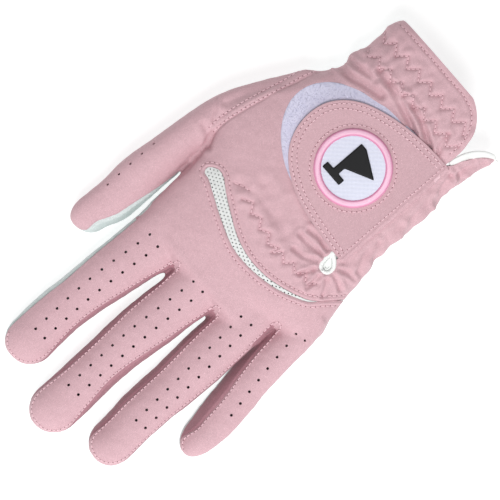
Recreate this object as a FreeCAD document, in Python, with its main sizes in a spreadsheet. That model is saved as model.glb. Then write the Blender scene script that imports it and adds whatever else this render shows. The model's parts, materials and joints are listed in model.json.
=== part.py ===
"""Women's left-hand golf glove, palm down, as its cut and sewn pieces.

Frame: millimetres, +Y towards the fingertips, +X towards the thumb, +Z out of the back of the hand.
The palm rests on Z = 0. Every leather panel is a thin sheet lofted through sections of the hand, and
cut to its pattern outline, the way the pieces are cut on a bench. The stalls are made in their own
frame, with their origin under the root, and are turned by their splay.
"""

import FreeCAD, Part

import math
import os

import Sketcher
from FreeCAD import Placement, Rotation, Vector

OUT = "parts"

# ---------------------------------------------------------------- driving dimensions

# Sections across the hand: Y, left edge, right edge, top and bottom of the outer skin.
HAND_STATIONS = {
    "cuff": (-97.0, -33.0, 30.0, 31.0, 0.6),
    "wrist": (-83.0, -33.5, 30.3, 30.5, 0.3),
    "waist": (-68.0, -32.5, 30.5, 28.5, 0.4),
    "heel": (-45.0, -34.2, 38.4, 28.5, -0.3),
    "crease": (-14.0, -36.8, 42.4, 28.0, -0.4),
    "middle": (0.0, -40.0, 40.6, 27.0, -0.3),
    "web": (8.0, -41.2, 39.6, 26.0, -0.1),
    "knuckle": (17.0, -42.6, 39.2, 24.5, 0.2),
    "root": (31.0, -43.0, 38.8, 21.5, 1.2),
}
# The thumb's base beside the hand sections: right edge, bottom, and X of the palm's edge below it.
THUMB_BASE = {
    "side": (35.4, 2.6, 27.6),
    "heel": (47.0, 1.2, 31.0),
    "crease": (55.3, 0.9, 34.8),
    "middle": (56.4, 0.9, 33.0),
    "web": (57.4, 1.0, 32.6),
}
# Stalls: root X, root Y, length, splay to the thumb side in degrees, widths at root, middle and tip,
# depths at root and tip, height of the underside at root and tip.
STALLS = {
    "index": (26.7, 31.9, 70.2, 2.4, 22.8, 18.9, 18.6, 18.2, 13.6, 2.4, 1.0),
    "middle": (3.0, 31.5, 81.1, 0.4, 21.2, 18.6, 18.8, 18.6, 14.0, 2.4, 1.0),
    "ring": (-18.9, 31.8, 71.8, -2.2, 19.0, 17.8, 16.8, 17.8, 13.4, 2.4, 1.0),
    "little": (-36.9, 18.2, 58.4, -5.6, 14.8, 15.2, 13.2, 16.4, 11.6, 2.2, 1.0),
    "thumb": (49.2, 8.9, 42.7, 3.2, 16.6, 16.8, 14.4, 18.8, 12.4, 1.2, 1.0),
}
STALL_COLUMNS = (
    "root_x root_y length splay root_width middle_width tip_width root_depth tip_depth root_floor tip_floor"
).split()

SINGLE_SIZES = {
    "leather": 0.8,
    "mesh_cloth": 0.5,
    "elastic_thick": 0.7,
    "seam_gap": 0.5,
    "ply_gap": 0.1,
    "fork_x": -28.5,
    "fork_y": 17.0,
    "side_y": -62.0,
    "palm_edge_z": 3.4,
    "mid_height": 14.0,
    "hand_power": 2.6,
    "stall_power": 2.2,
    # closure tab: root line, rounded tip
    "tab_root": -24.3,
    "tab_top": -17.6,
    "tab_bottom": -72.0,
    "tab_tip_x": 0.8,
    "tab_tip_y": -45.2,
    "tab_tip_radius": 24.2,
    "tab_lift": 2.1,
    "tab_lining_thick": 0.5,
    "tab_leather_thick": 0.9,
    # hook and loop
    "loop_x": 9.4,
    "loop_y": -46.4,
    "loop_radius": 24.6,
    "loop_chord": -12.0,
    "loop_thick": 1.1,
    "hook_x": 3.0,
    "hook_radius": 18.5,
    "hook_chord": -8.0,
    "hook_thick": 0.6,
    # round badge
    "badge_x": -2.0,
    "badge_y": -44.2,
    "badge_radius": 12.6,
    "badge_thick": 0.7,
    "badge_clear": 0.55,
    "badge_border": 2.4,
    "badge_border_rise": 1.3,
    "emblem_thick": 0.4,
    # mesh vent across the knuckles
    "vent_left_x": -41.0,
    "vent_left_y": -10.6,
    "vent_mid_x": -3.0,
    "vent_top": 10.9,
    "vent_right_x": 34.4,
    "vent_right_y": -1.0,
    "vent_mid_width": 2.9,
    "vent_end_width": 5.0,
    "vent_left_width": 0.6,
    "vent_margin": 2.4,
    # wrist slit under the tab
    "slit_x": -22.9,
    "slit_width": 1.8,
    "slit_foot": -74.0,
    "eye_x": -23.3,
    "eye_y": -13.2,
    "eye_radius": 3.2,
    "facing_width": 3.0,
    "facing_thick": 0.6,
    "corner_radius": 15.0,
    "flap_tip_x": -35.4,
    "flap_tip_y": -88.4,
    # elastics and trim
    "elastic_width": 6.0,
    "knuckle_elastic_drop": 9.6,
    "cuff_elastic_upper_y": -78.0,
    "cuff_elastic_lower_y": -86.2,
    "binding_width": 0.9,
    "welt_width": 2.4,
    "welt_thick": 0.9,
    "tack_length": 2.4,
    "tack_width": 0.7,
    "quirk_top": 18.6,
    "quirk_bottom": 3.2,
}

doc = FreeCAD.newDocument("golf_glove")
sheet = doc.addObject("Spreadsheet::Sheet", "sizes")


def fill_sheet():
    """Every driving dimension becomes a plain number in a cell with an alias."""
    values = dict(SINGLE_SIZES)
    for name, row in HAND_STATIONS.items():
        for column, value in zip(("y", "left", "right", "top", "floor"), row):
            values[f"{name}_{column}"] = value
    for name, row in THUMB_BASE.items():
        for column, value in zip(("bulge", "bulge_floor", "palm_edge"), row):
            values[f"{name}_{column}"] = value
    for name, row in STALLS.items():
        for column, value in zip(STALL_COLUMNS, row):
            values[f"{name}_stall_{column}"] = value
    for line, (alias, value) in enumerate(values.items(), start=1):
        sheet.set(f"A{line}", alias)
        sheet.set(f"B{line}", str(value))
        sheet.setAlias(f"B{line}", alias)
    doc.recompute()


def size(alias):
    return float(sheet.get(alias))


# ---------------------------------------------------------------- sections and sheets


def rounded_point(centre_x, centre_z, half_width, half_depth, power, degrees):
    """A point on a superellipse: 0 is the thumb side, 90 the back of the hand."""
    turn = math.radians(degrees)
    c, s = math.cos(turn), math.sin(turn)
    x = centre_x + half_width * math.copysign(abs(c) ** (2 / power), c)
    z = centre_z + half_depth * math.copysign(abs(s) ** (2 / power), s)
    return x, z


def sheet_wire(station, outer, inner, start, stop, power, points=17):
    """The cross-section of a thin sheet: outer curve, inner curve and the two cut edges.

    station is (y, left, right, top, bottom); outer and inner are offsets from the skin.
    """
    y, left, right, top, bottom = station
    centre_x, centre_z = (left + right) / 2, (top + bottom) / 2
    curves = []
    for offset in (outer, inner):
        half_width, half_depth = (right - left) / 2 + offset, (top - bottom) / 2 + offset
        row = []
        for i in range(points):
            angle = start + (stop - start) * i / (points - 1)
            x, z = rounded_point(centre_x, centre_z, half_width, half_depth, power, angle)
            row.append(Vector(x, y, z))
        curves.append(row)
    over, under = Part.BSplineCurve(), Part.BSplineCurve()
    over.interpolate(curves[0])
    under.interpolate(curves[1][::-1])
    edges = [
        over.toShape(),
        Part.makeLine(curves[0][-1], curves[1][-1]),
        under.toShape(),
        Part.makeLine(curves[1][0], curves[0][0]),
    ]
    return Part.Wire(edges)


def lofted_sheet(stations, outer, inner, angles, power):
    """A thin sheet through its sections. angles is one (start, stop) pair, or one pair per section."""
    pairs = [angles] * len(stations) if isinstance(angles[0], (int, float)) else angles
    wires = [sheet_wire(s, outer, inner, a, b, power) for s, (a, b) in zip(stations, pairs)]
    return Part.makeLoft(wires, True, False)


def hand_station(name):
    return tuple(size(f"{name}_{c}") for c in ("y", "left", "right", "top", "floor"))


def between(first, second, y):
    """The section between two stations, at y."""
    share = (y - first[0]) / (second[0] - first[0])
    return tuple(a + (b - a) * share for a, b in zip(first, second))


def hand_sheet(outer, inner, angles):
    """Every sheet that follows the hand runs through all its sections, so that the sheets nest."""
    stations = [hand_station(n) for n in HAND_STATIONS]
    return lofted_sheet(stations, outer, inner, angles, size("hand_power"))


def skin_height(x, y):
    """Height of the outer skin of the back of the hand above (x, y)."""
    rows = [hand_station(n) for n in HAND_STATIONS]
    for first, second in zip(rows, rows[1:]):
        if first[0] <= y <= second[0]:
            _, left, right, top, bottom = between(first, second, y)
    power = size("hand_power")
    reach = abs(x - (left + right) / 2) / ((right - left) / 2)
    return (top + bottom) / 2 + (top - bottom) / 2 * (1 - reach**power) ** (1 / power)


def feature(label, shape, placement=None):
    """A sub-part whose shape is a cut and sewn sheet."""
    made = doc.addObject("Part::Feature", label)
    made.Label = label
    made.Shape = shape
    if placement is not None:
        made.Placement = placement
    return made


# ---------------------------------------------------------------- sketches and pads


def body_with_pad(label, draw, length, lift):
    """A PartDesign body with one sketch on its XY plane, padded by a bound length."""
    body = doc.addObject("PartDesign::Body", label)
    plane = next(o for o in body.Origin.OriginFeatures if o.Role == "XY_Plane")
    sketch = body.newObject("Sketcher::SketchObject", f"{label}_outline")
    sketch.AttachmentSupport = [(plane, "")]
    sketch.MapMode = "FlatFace"
    draw(sketch)
    pad = body.newObject("PartDesign::Pad", f"{label}_pad")
    pad.Profile = sketch
    pad.setExpression("Length", length)
    body.Tip = pad
    body.setExpression("Placement.Base.z", lift)
    return body


def bind(sketch, constraint, name, expression):
    """Adds a named constraint to the sketch and binds it to a cell."""
    index = sketch.addConstraint(constraint)
    sketch.renameConstraint(index, name)
    sketch.setExpression(f"Constraints.{name}", expression)


def pin_point(sketch, line, end, name, x_expression, y_expression, x, y):
    """Holds one end of a line at (x, y) from the sketch's origin, by two bound distances."""
    origin = (-1, 1)
    bind(sketch, Sketcher.Constraint("DistanceX", *origin, line, end, x), f"{name}_x", x_expression)
    bind(sketch, Sketcher.Constraint("DistanceY", *origin, line, end, y), f"{name}_y", y_expression)


def draw_tab_outline(sketch):
    """Straight root, two sides that lean in, and a round tip that they meet tangentially."""
    root, top, bottom = size("tab_root"), size("tab_top"), size("tab_bottom")
    centre = Vector(size("tab_tip_x"), size("tab_tip_y"), 0)
    radius = size("tab_tip_radius")
    upper_touch = tangent_point(Vector(root, top, 0), centre, radius, 1)
    lower_touch = tangent_point(Vector(root, bottom, 0), centre, radius, -1)
    upper = math.atan2(upper_touch.y - centre.y, upper_touch.x - centre.x)
    lower = math.atan2(lower_touch.y - centre.y, lower_touch.x - centre.x)
    circle = Part.Circle(centre, Vector(0, 0, 1), radius)
    sketch.addGeometry(Part.LineSegment(Vector(root, bottom, 0), Vector(root, top, 0)))
    sketch.addGeometry(Part.LineSegment(Vector(root, top, 0), upper_touch))
    sketch.addGeometry(Part.ArcOfCircle(circle, lower, upper))
    sketch.addGeometry(Part.LineSegment(lower_touch, Vector(root, bottom, 0)))
    sketch.addConstraint(Sketcher.Constraint("Coincident", 0, 2, 1, 1))
    sketch.addConstraint(Sketcher.Constraint("Tangent", 1, 2, 2, 2))
    sketch.addConstraint(Sketcher.Constraint("Tangent", 2, 1, 3, 1))
    sketch.addConstraint(Sketcher.Constraint("Coincident", 3, 2, 0, 1))
    pin_point(sketch, 0, 2, "top", "sizes.tab_root", "sizes.tab_top", root, top)
    pin_point(sketch, 0, 1, "bottom", "sizes.tab_root", "sizes.tab_bottom", root, bottom)
    pin_point(sketch, 2, 3, "tip", "sizes.tab_tip_x", "sizes.tab_tip_y", centre.x, centre.y)
    bind(sketch, Sketcher.Constraint("Radius", 2, radius), "tip_radius", "sizes.tab_tip_radius")


def tangent_point(point, centre, radius, side):
    """Where a line from point touches the circle; side 1 is the fingertip side."""
    reach = centre.sub(point)
    lean = math.asin(radius / reach.Length)
    direction = math.atan2(reach.y, reach.x) + side * lean
    run = math.sqrt(reach.Length**2 - radius**2)
    return Vector(point.x + run * math.cos(direction), point.y + run * math.sin(direction), 0)


def draw_round_patch(x, y, radius, chord):
    """A draw function for a disc cut by a straight chord on its little-finger side."""

    def draw(sketch):
        centre = Vector(size(x), size(y), 0)
        half = math.acos((size(chord) - centre.x) / size(radius))
        circle = Part.Circle(centre, Vector(0, 0, 1), size(radius))
        rise = size(radius) * math.sin(half)
        top = Vector(size(chord), centre.y + rise, 0)
        bottom = Vector(size(chord), centre.y - rise, 0)
        sketch.addGeometry(Part.ArcOfCircle(circle, -half, half))
        sketch.addGeometry(Part.LineSegment(top, bottom))
        sketch.addConstraint(Sketcher.Constraint("Coincident", 0, 2, 1, 1))
        sketch.addConstraint(Sketcher.Constraint("Coincident", 0, 1, 1, 2))
        sketch.addConstraint(Sketcher.Constraint("Vertical", 1))
        pin_point(sketch, 0, 3, "centre", f"sizes.{x}", f"sizes.{y}", centre.x, centre.y)
        bind(sketch, Sketcher.Constraint("Radius", 0, size(radius)), "radius", f"sizes.{radius}")
        chord_x = Sketcher.Constraint("DistanceX", -1, 1, 1, 1, size(chord))
        bind(sketch, chord_x, "chord", f"sizes.{chord}")

    return draw


def draw_emblem(sketch):
    """A plain pin flag, read from the fingers' side: a pole on a base bar, with a triangular pennant."""
    pole, base, pennant, tall = 3.0, 9.6, 10.8, 17.0
    bar, pennant_drop, middle = 2.8, 11.2, 5.6
    left = -5.0
    right, centre = left + pole, left + pole / 2
    points = [
        (centre - base / 2, 0),
        (centre + base / 2, 0),
        (centre + base / 2, bar),
        (right, bar),
        (right, tall - pennant_drop),
        (right + pennant, tall - middle),
        (right, tall),
        (left, tall),
        (left, bar),
        (centre - base / 2, bar),
    ]
    corners = [Vector(-x, tall / 2 - y, 0) for x, y in points]
    for i, corner in enumerate(corners):
        sketch.addGeometry(Part.LineSegment(corner, corners[(i + 1) % len(corners)]))
    for i in range(len(corners)):
        sketch.addConstraint(Sketcher.Constraint("Coincident", i, 2, (i + 1) % len(corners), 1))


def draw_badge_border(sketch):
    """Half section of the overlocked border, from the disc's edge outwards, for one full turn."""
    inner, width, rise = size("badge_radius"), size("badge_border"), size("badge_border_rise")
    middle = inner + width / 2
    arc = Part.Arc(
        Vector(inner + width, 0, 0), Vector(middle, rise, 0), Vector(inner, 0, 0)
    )
    sketch.addGeometry(arc)
    sketch.addGeometry(Part.LineSegment(Vector(inner, 0, 0), Vector(inner + width, 0, 0)))
    sketch.addConstraint(Sketcher.Constraint("Coincident", 0, 2, 1, 1))
    sketch.addConstraint(Sketcher.Constraint("Coincident", 0, 1, 1, 2))
    sketch.addConstraint(Sketcher.Constraint("Horizontal", 1))
    start = Sketcher.Constraint("DistanceX", -1, 1, 1, 1, inner)
    bind(sketch, start, "inner", "sizes.badge_radius")
    sketch.addConstraint(Sketcher.Constraint("DistanceY", -1, 1, 1, 1, 0))
    bind(sketch, Sketcher.Constraint("DistanceX", 1, 1, 1, 2, width), "width", "sizes.badge_border")


# ---------------------------------------------------------------- pattern outlines as solids

TALL = 60.0
BELOW = -5.0


def prism(outline, low=BELOW, height=TALL):
    """A solid from a closed wire in the XY plane, standing through the glove."""
    raised = Part.Face(outline)
    raised.translate(Vector(0, 0, low))
    return raised.extrude(Vector(0, 0, height))


def vent_outline(margin):
    """The crescent of the mesh vent, wider by margin all round."""
    left_x, left_y = size("vent_left_x"), size("vent_left_y")
    mid_x, top = size("vent_mid_x"), size("vent_top")
    right_x, right_y = size("vent_right_x"), size("vent_right_y")
    end = size("vent_end_width") + 2 * margin
    upper_left = Vector(left_x, left_y + margin, 0)
    lower_left = Vector(left_x, left_y - size("vent_left_width") - margin, 0)
    upper_right = Vector(right_x - 1.6, right_y + 0.9 + margin, 0)
    lower_right = Vector(right_x - 4.6, right_y + 1.0 + margin - end, 0)
    round_end = Vector(right_x + margin, right_y - 1.4, 0)
    upper_mid = Vector(mid_x, top + margin, 0)
    lower_mid = Vector(mid_x, top - size("vent_mid_width") - margin, 0)
    edges = [
        Part.Arc(upper_left, upper_mid, upper_right).toShape(),
        Part.Arc(upper_right, round_end, lower_right).toShape(),
        Part.Arc(lower_right, lower_mid, lower_left).toShape(),
        Part.makeLine(lower_left, upper_left),
    ]
    return Part.Wire(edges)


def knuckle_elastic_outline():
    """A band that follows the lower edge of the vent, one drop below its upper edge."""
    drop, width = size("knuckle_elastic_drop"), size("elastic_width")
    mid_x, top = size("vent_mid_x"), size("vent_top")
    ends = (Vector(-20.0, top - 13.2, 0), Vector(24.5, top - 16.6, 0))
    high = [Vector(p.x, p.y + width / 2, 0) for p in ends]
    low = [Vector(p.x, p.y - width / 2, 0) for p in ends]
    crown = Vector(mid_x, top - drop, 0)
    lower_crown = Vector(mid_x, top - drop - width, 0)
    edges = [
        Part.Arc(high[0], crown, high[1]).toShape(),
        Part.makeLine(high[1], low[1]),
        Part.Arc(low[1], lower_crown, low[0]).toShape(),
        Part.makeLine(low[0], high[0]),
    ]
    return Part.Wire(edges)


def slit_outline(margin, open_end):
    """The eye at the top of the wrist slit and the slit below it, down to open_end."""
    half = size("slit_width") / 2 + margin
    x, eye_x, eye_y = size("slit_x"), size("eye_x"), size("eye_y")
    radius = size("eye_radius") + margin
    drop = math.sqrt(radius**2 - (half + 0.4) ** 2)
    left_touch = Vector(x - half, eye_y - drop, 0)
    right_touch = Vector(x + half, eye_y - drop, 0)
    edges = [
        Part.Arc(left_touch, Vector(eye_x, eye_y + radius + 0.8, 0), right_touch).toShape(),
        Part.makeLine(right_touch, Vector(x + half, open_end, 0)),
        Part.makeLine(Vector(x + half, open_end, 0), Vector(x - half, open_end, 0)),
        Part.makeLine(Vector(x - half, open_end, 0), left_touch),
    ]
    return Part.Wire(edges)


def cuff_notch_outline():
    """What is cut away between the rounded cuff corner and the pointed flap beside it."""
    half = size("slit_width") / 2
    x, radius, cuff = size("slit_x"), size("corner_radius"), size("cuff_y")
    foot = size("slit_foot")
    start = Vector(x + half, foot, 0)
    corner_top = Vector(x + half, cuff + radius, 0)
    corner_end = Vector(x + half + radius, cuff, 0)
    bulge = radius * (1 - math.sqrt(0.5))
    corner_mid = Vector(x + half + bulge, cuff + bulge, 0)
    flap = Vector(size("flap_tip_x"), size("flap_tip_y"), 0)
    below = cuff - 8.0
    outside = -60.0
    edges = [
        Part.makeLine(start, corner_top),
        Part.Arc(corner_top, corner_mid, corner_end).toShape(),
        Part.makeLine(corner_end, Vector(corner_end.x, below, 0)),
        Part.makeLine(Vector(corner_end.x, below, 0), Vector(outside, below, 0)),
        Part.makeLine(Vector(outside, below, 0), Vector(outside, flap.y, 0)),
        Part.makeLine(Vector(outside, flap.y, 0), flap),
        Part.makeLine(flap, Vector(x - half, foot, 0)),
        Part.makeLine(Vector(x - half, foot, 0), start),
    ]
    return Part.Wire(edges)


def little_finger_corner():
    """The block beyond the ring and little finger's fork, where the little stall has its own root."""
    return Part.makeBox(30, 30, TALL, Vector(size("fork_x") - 30, size("fork_y"), BELOW))


# ---------------------------------------------------------------- hand panels

ULNAR_SEAM = 203.0
BACK_EDGE = {
    "cuff": 6.0, "wrist": 6.0, "waist": 10.0, "heel": 20.0, "crease": 20.0,
    "middle": 24.0, "web": 28.0, "knuckle": 30.0, "root": 30.0,
}


def make_back_panel():
    """The back of the hand: one piece from the cuff to the stalls, cut for the vent and the slit."""
    angles = [(BACK_EDGE[n], ULNAR_SEAM) for n in HAND_STATIONS]
    panel = hand_sheet(0.0, -size("leather"), angles)
    panel = panel.cut(little_finger_corner())
    panel = panel.cut(prism(vent_outline(0.0), low=3.0))
    panel = panel.cut(prism(slit_outline(0.0, size("slit_foot") - 1.0), low=size("mid_height")))
    panel = panel.cut(prism(cuff_notch_outline(), low=size("mid_height")))
    feature("back_panel", panel)


def make_palm_panel():
    """The palm, folded up round the thumb side of the hand, with a flat resting face."""
    angles = [(ULNAR_SEAM, 360.0 + BACK_EDGE[n]) for n in HAND_STATIONS]
    panel = hand_sheet(0.0, -size("leather"), angles)
    panel = panel.cut(little_finger_corner())
    side, web = size("side_y"), size("web_y")
    edge = size("palm_edge_z")
    thumb_hole = Part.makeBox(36, web - side, 26, Vector(24, side, edge))
    below_floor = Part.makeBox(200, 300, 10, Vector(-100, -150, -10))
    below_middle = size("mid_height") - BELOW
    cut_corner = prism(cuff_notch_outline(), low=BELOW, height=below_middle)
    panel = panel.cut(thumb_hole).cut(below_floor).cut(cut_corner)
    feature("palm_panel", panel)


def bulge_section(name):
    """The section of the thumb's base at a station, and the angles of its upper and lower edges.

    Its top starts at the edge of the back panel, and its lower edge ends at the edge of the palm.
    """
    if name == "side":
        section = between(hand_station("waist"), hand_station("heel"), size("side_y"))
        edge = BACK_EDGE["waist"] + 3.0
    else:
        section, edge = hand_station(name), BACK_EDGE[name]
    y, left, right, top, floor = section
    half_width, half_depth = (right - left) / 2, (top - floor) / 2
    middle_x, middle_z = (left + right) / 2, (top + floor) / 2
    seam_x, seam_z = rounded_point(middle_x, middle_z, half_width, half_depth, size("hand_power"), edge)
    centre = seam_x + size("seam_gap")
    reach = size(f"{name}_bulge") - centre
    inward = centre - size(f"{name}_palm_edge") - size("seam_gap")
    share = min(0.95, inward / reach)
    lower = -90.0 - math.degrees(math.asin(share ** (size("stall_power") / 2)))
    return (y, centre - reach, centre + reach, seam_z + 0.2, size(f"{name}_bulge_floor")), lower


def make_thumb_base():
    """The side panel at the wrist and the two halves of the thumb's base up to its fork."""
    power, leather, seam = size("stall_power"), size("leather"), -42.0
    sections = {name: bulge_section(name) for name in THUMB_BASE}
    rear, front = ("side", "heel", "crease"), ("crease", "middle", "web")
    whole = [(sections[n][1], 89.0) for n in rear]
    side = lofted_sheet([sections[n][0] for n in rear], 0.0, -leather, whole, power)
    forward = [sections[n][0] for n in front]
    back = lofted_sheet(forward, 0.0, -leather, (seam, 89.0), power)
    below = [(sections[n][1], seam) for n in front]
    palm = lofted_sheet(forward, 0.0, -leather, below, power)
    feature("side_panel", side)
    feature("thumb_base_back", back)
    feature("thumb_base_palm", palm)


def make_quirk():
    """The small gusset that closes the ring finger's side between the two forks."""
    quirk = doc.addObject("Part::Box", "little_finger_quirk")
    quirk.setExpression("Length", "sizes.leather")
    quirk.setExpression("Width", "sizes.root_y - sizes.fork_y - 0.3")
    quirk.setExpression("Height", "sizes.quirk_top - sizes.quirk_bottom")
    quirk.setExpression("Placement.Base.x", "sizes.fork_x + 0.1")
    quirk.setExpression("Placement.Base.y", "sizes.fork_y + 0.3")
    quirk.setExpression("Placement.Base.z", "sizes.quirk_bottom")


# ---------------------------------------------------------------- stalls

# Strips of each stall by angle: 0 is the thumb side, 90 the back of the finger.
STALL_STRIPS = {
    "index": {"back": (28, 154), "little_side_fourchette": (154, 206), "palm": (206, 388)},
    "middle": {
        "back": (22, 158), "little_side_fourchette": (158, 206),
        "palm": (206, 334), "thumb_side_fourchette": (-26, 22),
    },
    "ring": {
        "back": (42, 164), "little_side_fourchette": (164, 208),
        "palm": (208, 336), "thumb_side_fourchette": (-24, 42),
    },
    "little": {"back": (62, 212), "palm": (212, 344), "thumb_side_fourchette": (-16, 62)},
    "thumb": {"back": (-40, 134), "palm": (134, 320)},
}
TIP_TURNS = (0, 28, 50, 66, 78)


def stall_stations(name):
    """Sections along a stall in its own frame, with the tip rounded by a quarter turn."""
    get = {c: size(f"{name}_stall_{c}") for c in STALL_COLUMNS}
    rounding = get["tip_width"] / 2
    straight = get["length"] - rounding
    rows = []
    for share, width in ((0, "root_width"), (0.3, None), (0.55, "middle_width"), (0.8, "tip_width")):
        along = straight * share
        across = (
            get[width] if width else (0.42 * get["root_width"] + 0.58 * get["middle_width"])
        )
        rows.append((along, across, 1.0))
    for turn in TIP_TURNS:
        bend = math.radians(turn)
        rows.append((straight + rounding * math.sin(bend), get["tip_width"], math.cos(bend)))
    stations = []
    for along, across, shrink in rows:
        share = along / get["length"]
        depth = get["root_depth"] + (get["tip_depth"] - get["root_depth"]) * share
        floor = get["root_floor"] + (get["tip_floor"] - get["root_floor"]) * share
        middle = floor + depth / 2
        half, rise = across / 2 * shrink, depth / 2 * shrink
        stations.append((along, -half, half, middle + rise, middle - rise))
    return stations


def make_stall(name):
    """The strips of one stall. They meet edge to edge along their seams."""
    stations = stall_stations(name)
    base = Vector(size(f"{name}_stall_root_x"), size(f"{name}_stall_root_y"), 0)
    splay = Rotation(Vector(0, 0, 1), -size(f"{name}_stall_splay"))
    for strip, angles in STALL_STRIPS[name].items():
        shape = lofted_sheet(stations, 0.0, -size("leather"), angles, size("stall_power"))
        feature(f"{name}_{strip}", shape, Placement(base, splay))


# ---------------------------------------------------------------- vent, slit, elastics and trim


def lining_sheet(thick, angles):
    """A sheet lying just inside the leather."""
    top = -size("leather") - size("ply_gap")
    return hand_sheet(top, top - thick, angles)


def make_vent():
    """The mesh lies under the leather, with a margin all round that is sewn down."""
    mesh = lining_sheet(size("mesh_cloth"), (30.0, 200.0))
    cut = mesh.common(prism(vent_outline(size("vent_margin")), low=4.0))
    feature("mesh_vent", cut)


def make_knuckle_elastic():
    band = lining_sheet(size("elastic_thick"), (40.0, 150.0))
    feature("knuckle_elastic", band.common(prism(knuckle_elastic_outline(), low=4.0)))


def make_cuff_elastics():
    """Two gathered bands inside the cuff, from the slit round to the thumb side."""
    sheet_inside = lining_sheet(size("elastic_thick"), (-30.0, 117.0))
    width = size("elastic_width")
    for label in ("cuff_elastic_upper", "cuff_elastic_lower"):
        low = size(f"{label}_y") - width / 2
        feature(label, sheet_inside.common(Part.makeBox(120, width, TALL, Vector(-60, low, BELOW))))


def make_slit_facing():
    """White facing under the edges of the slit. It shows in the eye at the slit's top."""
    strip = lining_sheet(size("facing_thick"), (95.0, 165.0))
    low, foot = size("mid_height"), size("slit_foot")
    wide = prism(slit_outline(size("facing_width"), foot + 3.0), low=low)
    corner = Vector(size("slit_x") - size("slit_width") / 2, foot + 1.5, low)
    gap = Part.makeBox(size("slit_width"), 60, TALL, corner)
    feature("slit_facing", strip.common(wide).cut(gap))


def make_cuff_binding():
    """The narrow edge tape round the cuff, from the rounded corner under the hand to the flap."""
    cuff = hand_station("cuff")
    start = (cuff[0] - size("binding_width"), *cuff[1:])
    stop = (cuff[0] - 0.1, *cuff[1:])
    tape = lofted_sheet([start, stop], 0.3, -1.1, (-128.0, 98.0), size("hand_power"))
    feature("cuff_binding", tape)


def make_tab_seam_welt():
    """The rolled seam allowance beside the tab's root."""
    low = size("ply_gap")
    strip = hand_sheet(low + size("welt_thick"), low, (95.0, 170.0))
    x = size("tab_root") - 0.5 - size("welt_width")
    long = size("tab_top") - size("waist_y") - 1.5
    bounds = Part.makeBox(size("welt_width"), long, TALL, Vector(x, size("waist_y") + 0.5, 10))
    feature("tab_seam_welt", strip.common(bounds))


def make_bar_tacks():
    """Two close bars of thread across the welt's outer edge, as one group."""
    tacks = []
    for y in (-25.0, -48.0):
        tack = doc.addObject("Part::Box", "bar_tack")
        tack.setExpression("Length", "sizes.tack_length")
        tack.setExpression("Width", "sizes.tack_width")
        tack.setExpression("Height", "sizes.tack_width")
        left = size("tab_root") - 3.4 - size("tack_length")
        height = skin_height(left + size("tack_length"), y) + 0.15
        tack.Placement = Placement(Vector(left, y, height), Rotation(Vector(0, 1, 0), -14))
        tacks.append(tack)
    group = doc.addObject("Part::Compound", "bar_tacks")
    group.Links = tacks


# ---------------------------------------------------------------- closure tab

CROWN_ANGLES = (24.0, 156.0)


def cut_from_crown(label, outline, low, high):
    """A piece cut to an outline from a sheet that follows the back of the hand."""
    crown = feature(f"{label}_crown", hand_sheet(high, low, CROWN_ANGLES))
    piece = doc.addObject("Part::Common", label)
    piece.Label = label
    piece.Base = crown
    piece.Tool = outline
    return piece


def make_closure():
    """Loop patch on the hand; on the tab, its hook patch, lining and leather."""
    lift, lining = size("tab_lift"), size("tab_lining_thick")
    leather, gap = size("tab_leather_thick"), size("ply_gap")
    tall, low = "60", "0"
    loop_draw = draw_round_patch("loop_x", "loop_y", "loop_radius", "loop_chord")
    loop_outline = body_with_pad("loop_outline", loop_draw, tall, low)
    hook_draw = draw_round_patch("hook_x", "tab_tip_y", "hook_radius", "hook_chord")
    hook_outline = body_with_pad("hook_outline", hook_draw, tall, low)
    tab_outline = body_with_pad("tab_outline", draw_tab_outline, tall, low)
    cut_from_crown("loop_patch", loop_outline, gap, size("loop_thick"))
    cut_from_crown("hook_patch", hook_outline, lift - size("hook_thick"), lift - gap)
    cut_from_crown("tab_lining", tab_outline, lift, lift + lining - gap)
    cut_from_crown("tab_leather", tab_outline, lift + lining, lift + lining + leather)


def make_badge():
    """Round badge sewn on the tab: woven disc, overlocked border and a raised emblem."""
    lift = size("tab_lift") + size("tab_lining_thick") + size("tab_leather_thick")
    base = skin_height(size("badge_x"), size("badge_y")) + lift + size("badge_clear")
    disc = doc.addObject("Part::Cylinder", "badge_disc")
    disc.setExpression("Radius", "sizes.badge_radius")
    disc.setExpression("Height", "sizes.badge_thick")
    disc.Placement.Base.z = base
    border = doc.addObject("PartDesign::Body", "badge_border_body")
    border.Label = "badge_border"
    plane = next(o for o in border.Origin.OriginFeatures if o.Role == "XZ_Plane")
    sketch = border.newObject("Sketcher::SketchObject", "border_section")
    sketch.AttachmentSupport = [(plane, "")]
    sketch.MapMode = "FlatFace"
    draw_badge_border(sketch)
    turn = border.newObject("PartDesign::Revolution", "border_turn")
    turn.Profile = sketch
    turn.ReferenceAxis = (sketch, ["V_Axis"])
    turn.Angle = 360.0
    border.Tip = turn
    border.Placement.Base.z = base
    face = str(base + size("badge_thick"))
    emblem = body_with_pad("badge_emblem", draw_emblem, "sizes.emblem_thick", face)
    for piece in (disc, border, emblem):
        piece.setExpression("Placement.Base.x", "sizes.badge_x")
        piece.setExpression("Placement.Base.y", "sizes.badge_y")


# ---------------------------------------------------------------- build, check, write

NOT_WRITTEN = ("_crown", "_outline", "bar_tack", "_pad", "section", "border_turn")
KINDS = ("Part::", "PartDesign::Body")


def sub_parts():
    """The objects that are pieces of the glove, by label."""
    found = {}
    for item in doc.Objects:
        if not item.TypeId.startswith(KINDS) or item.Label.rstrip("0123456789").endswith(NOT_WRITTEN):
            continue
        found[item.Label] = item
    return found


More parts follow.
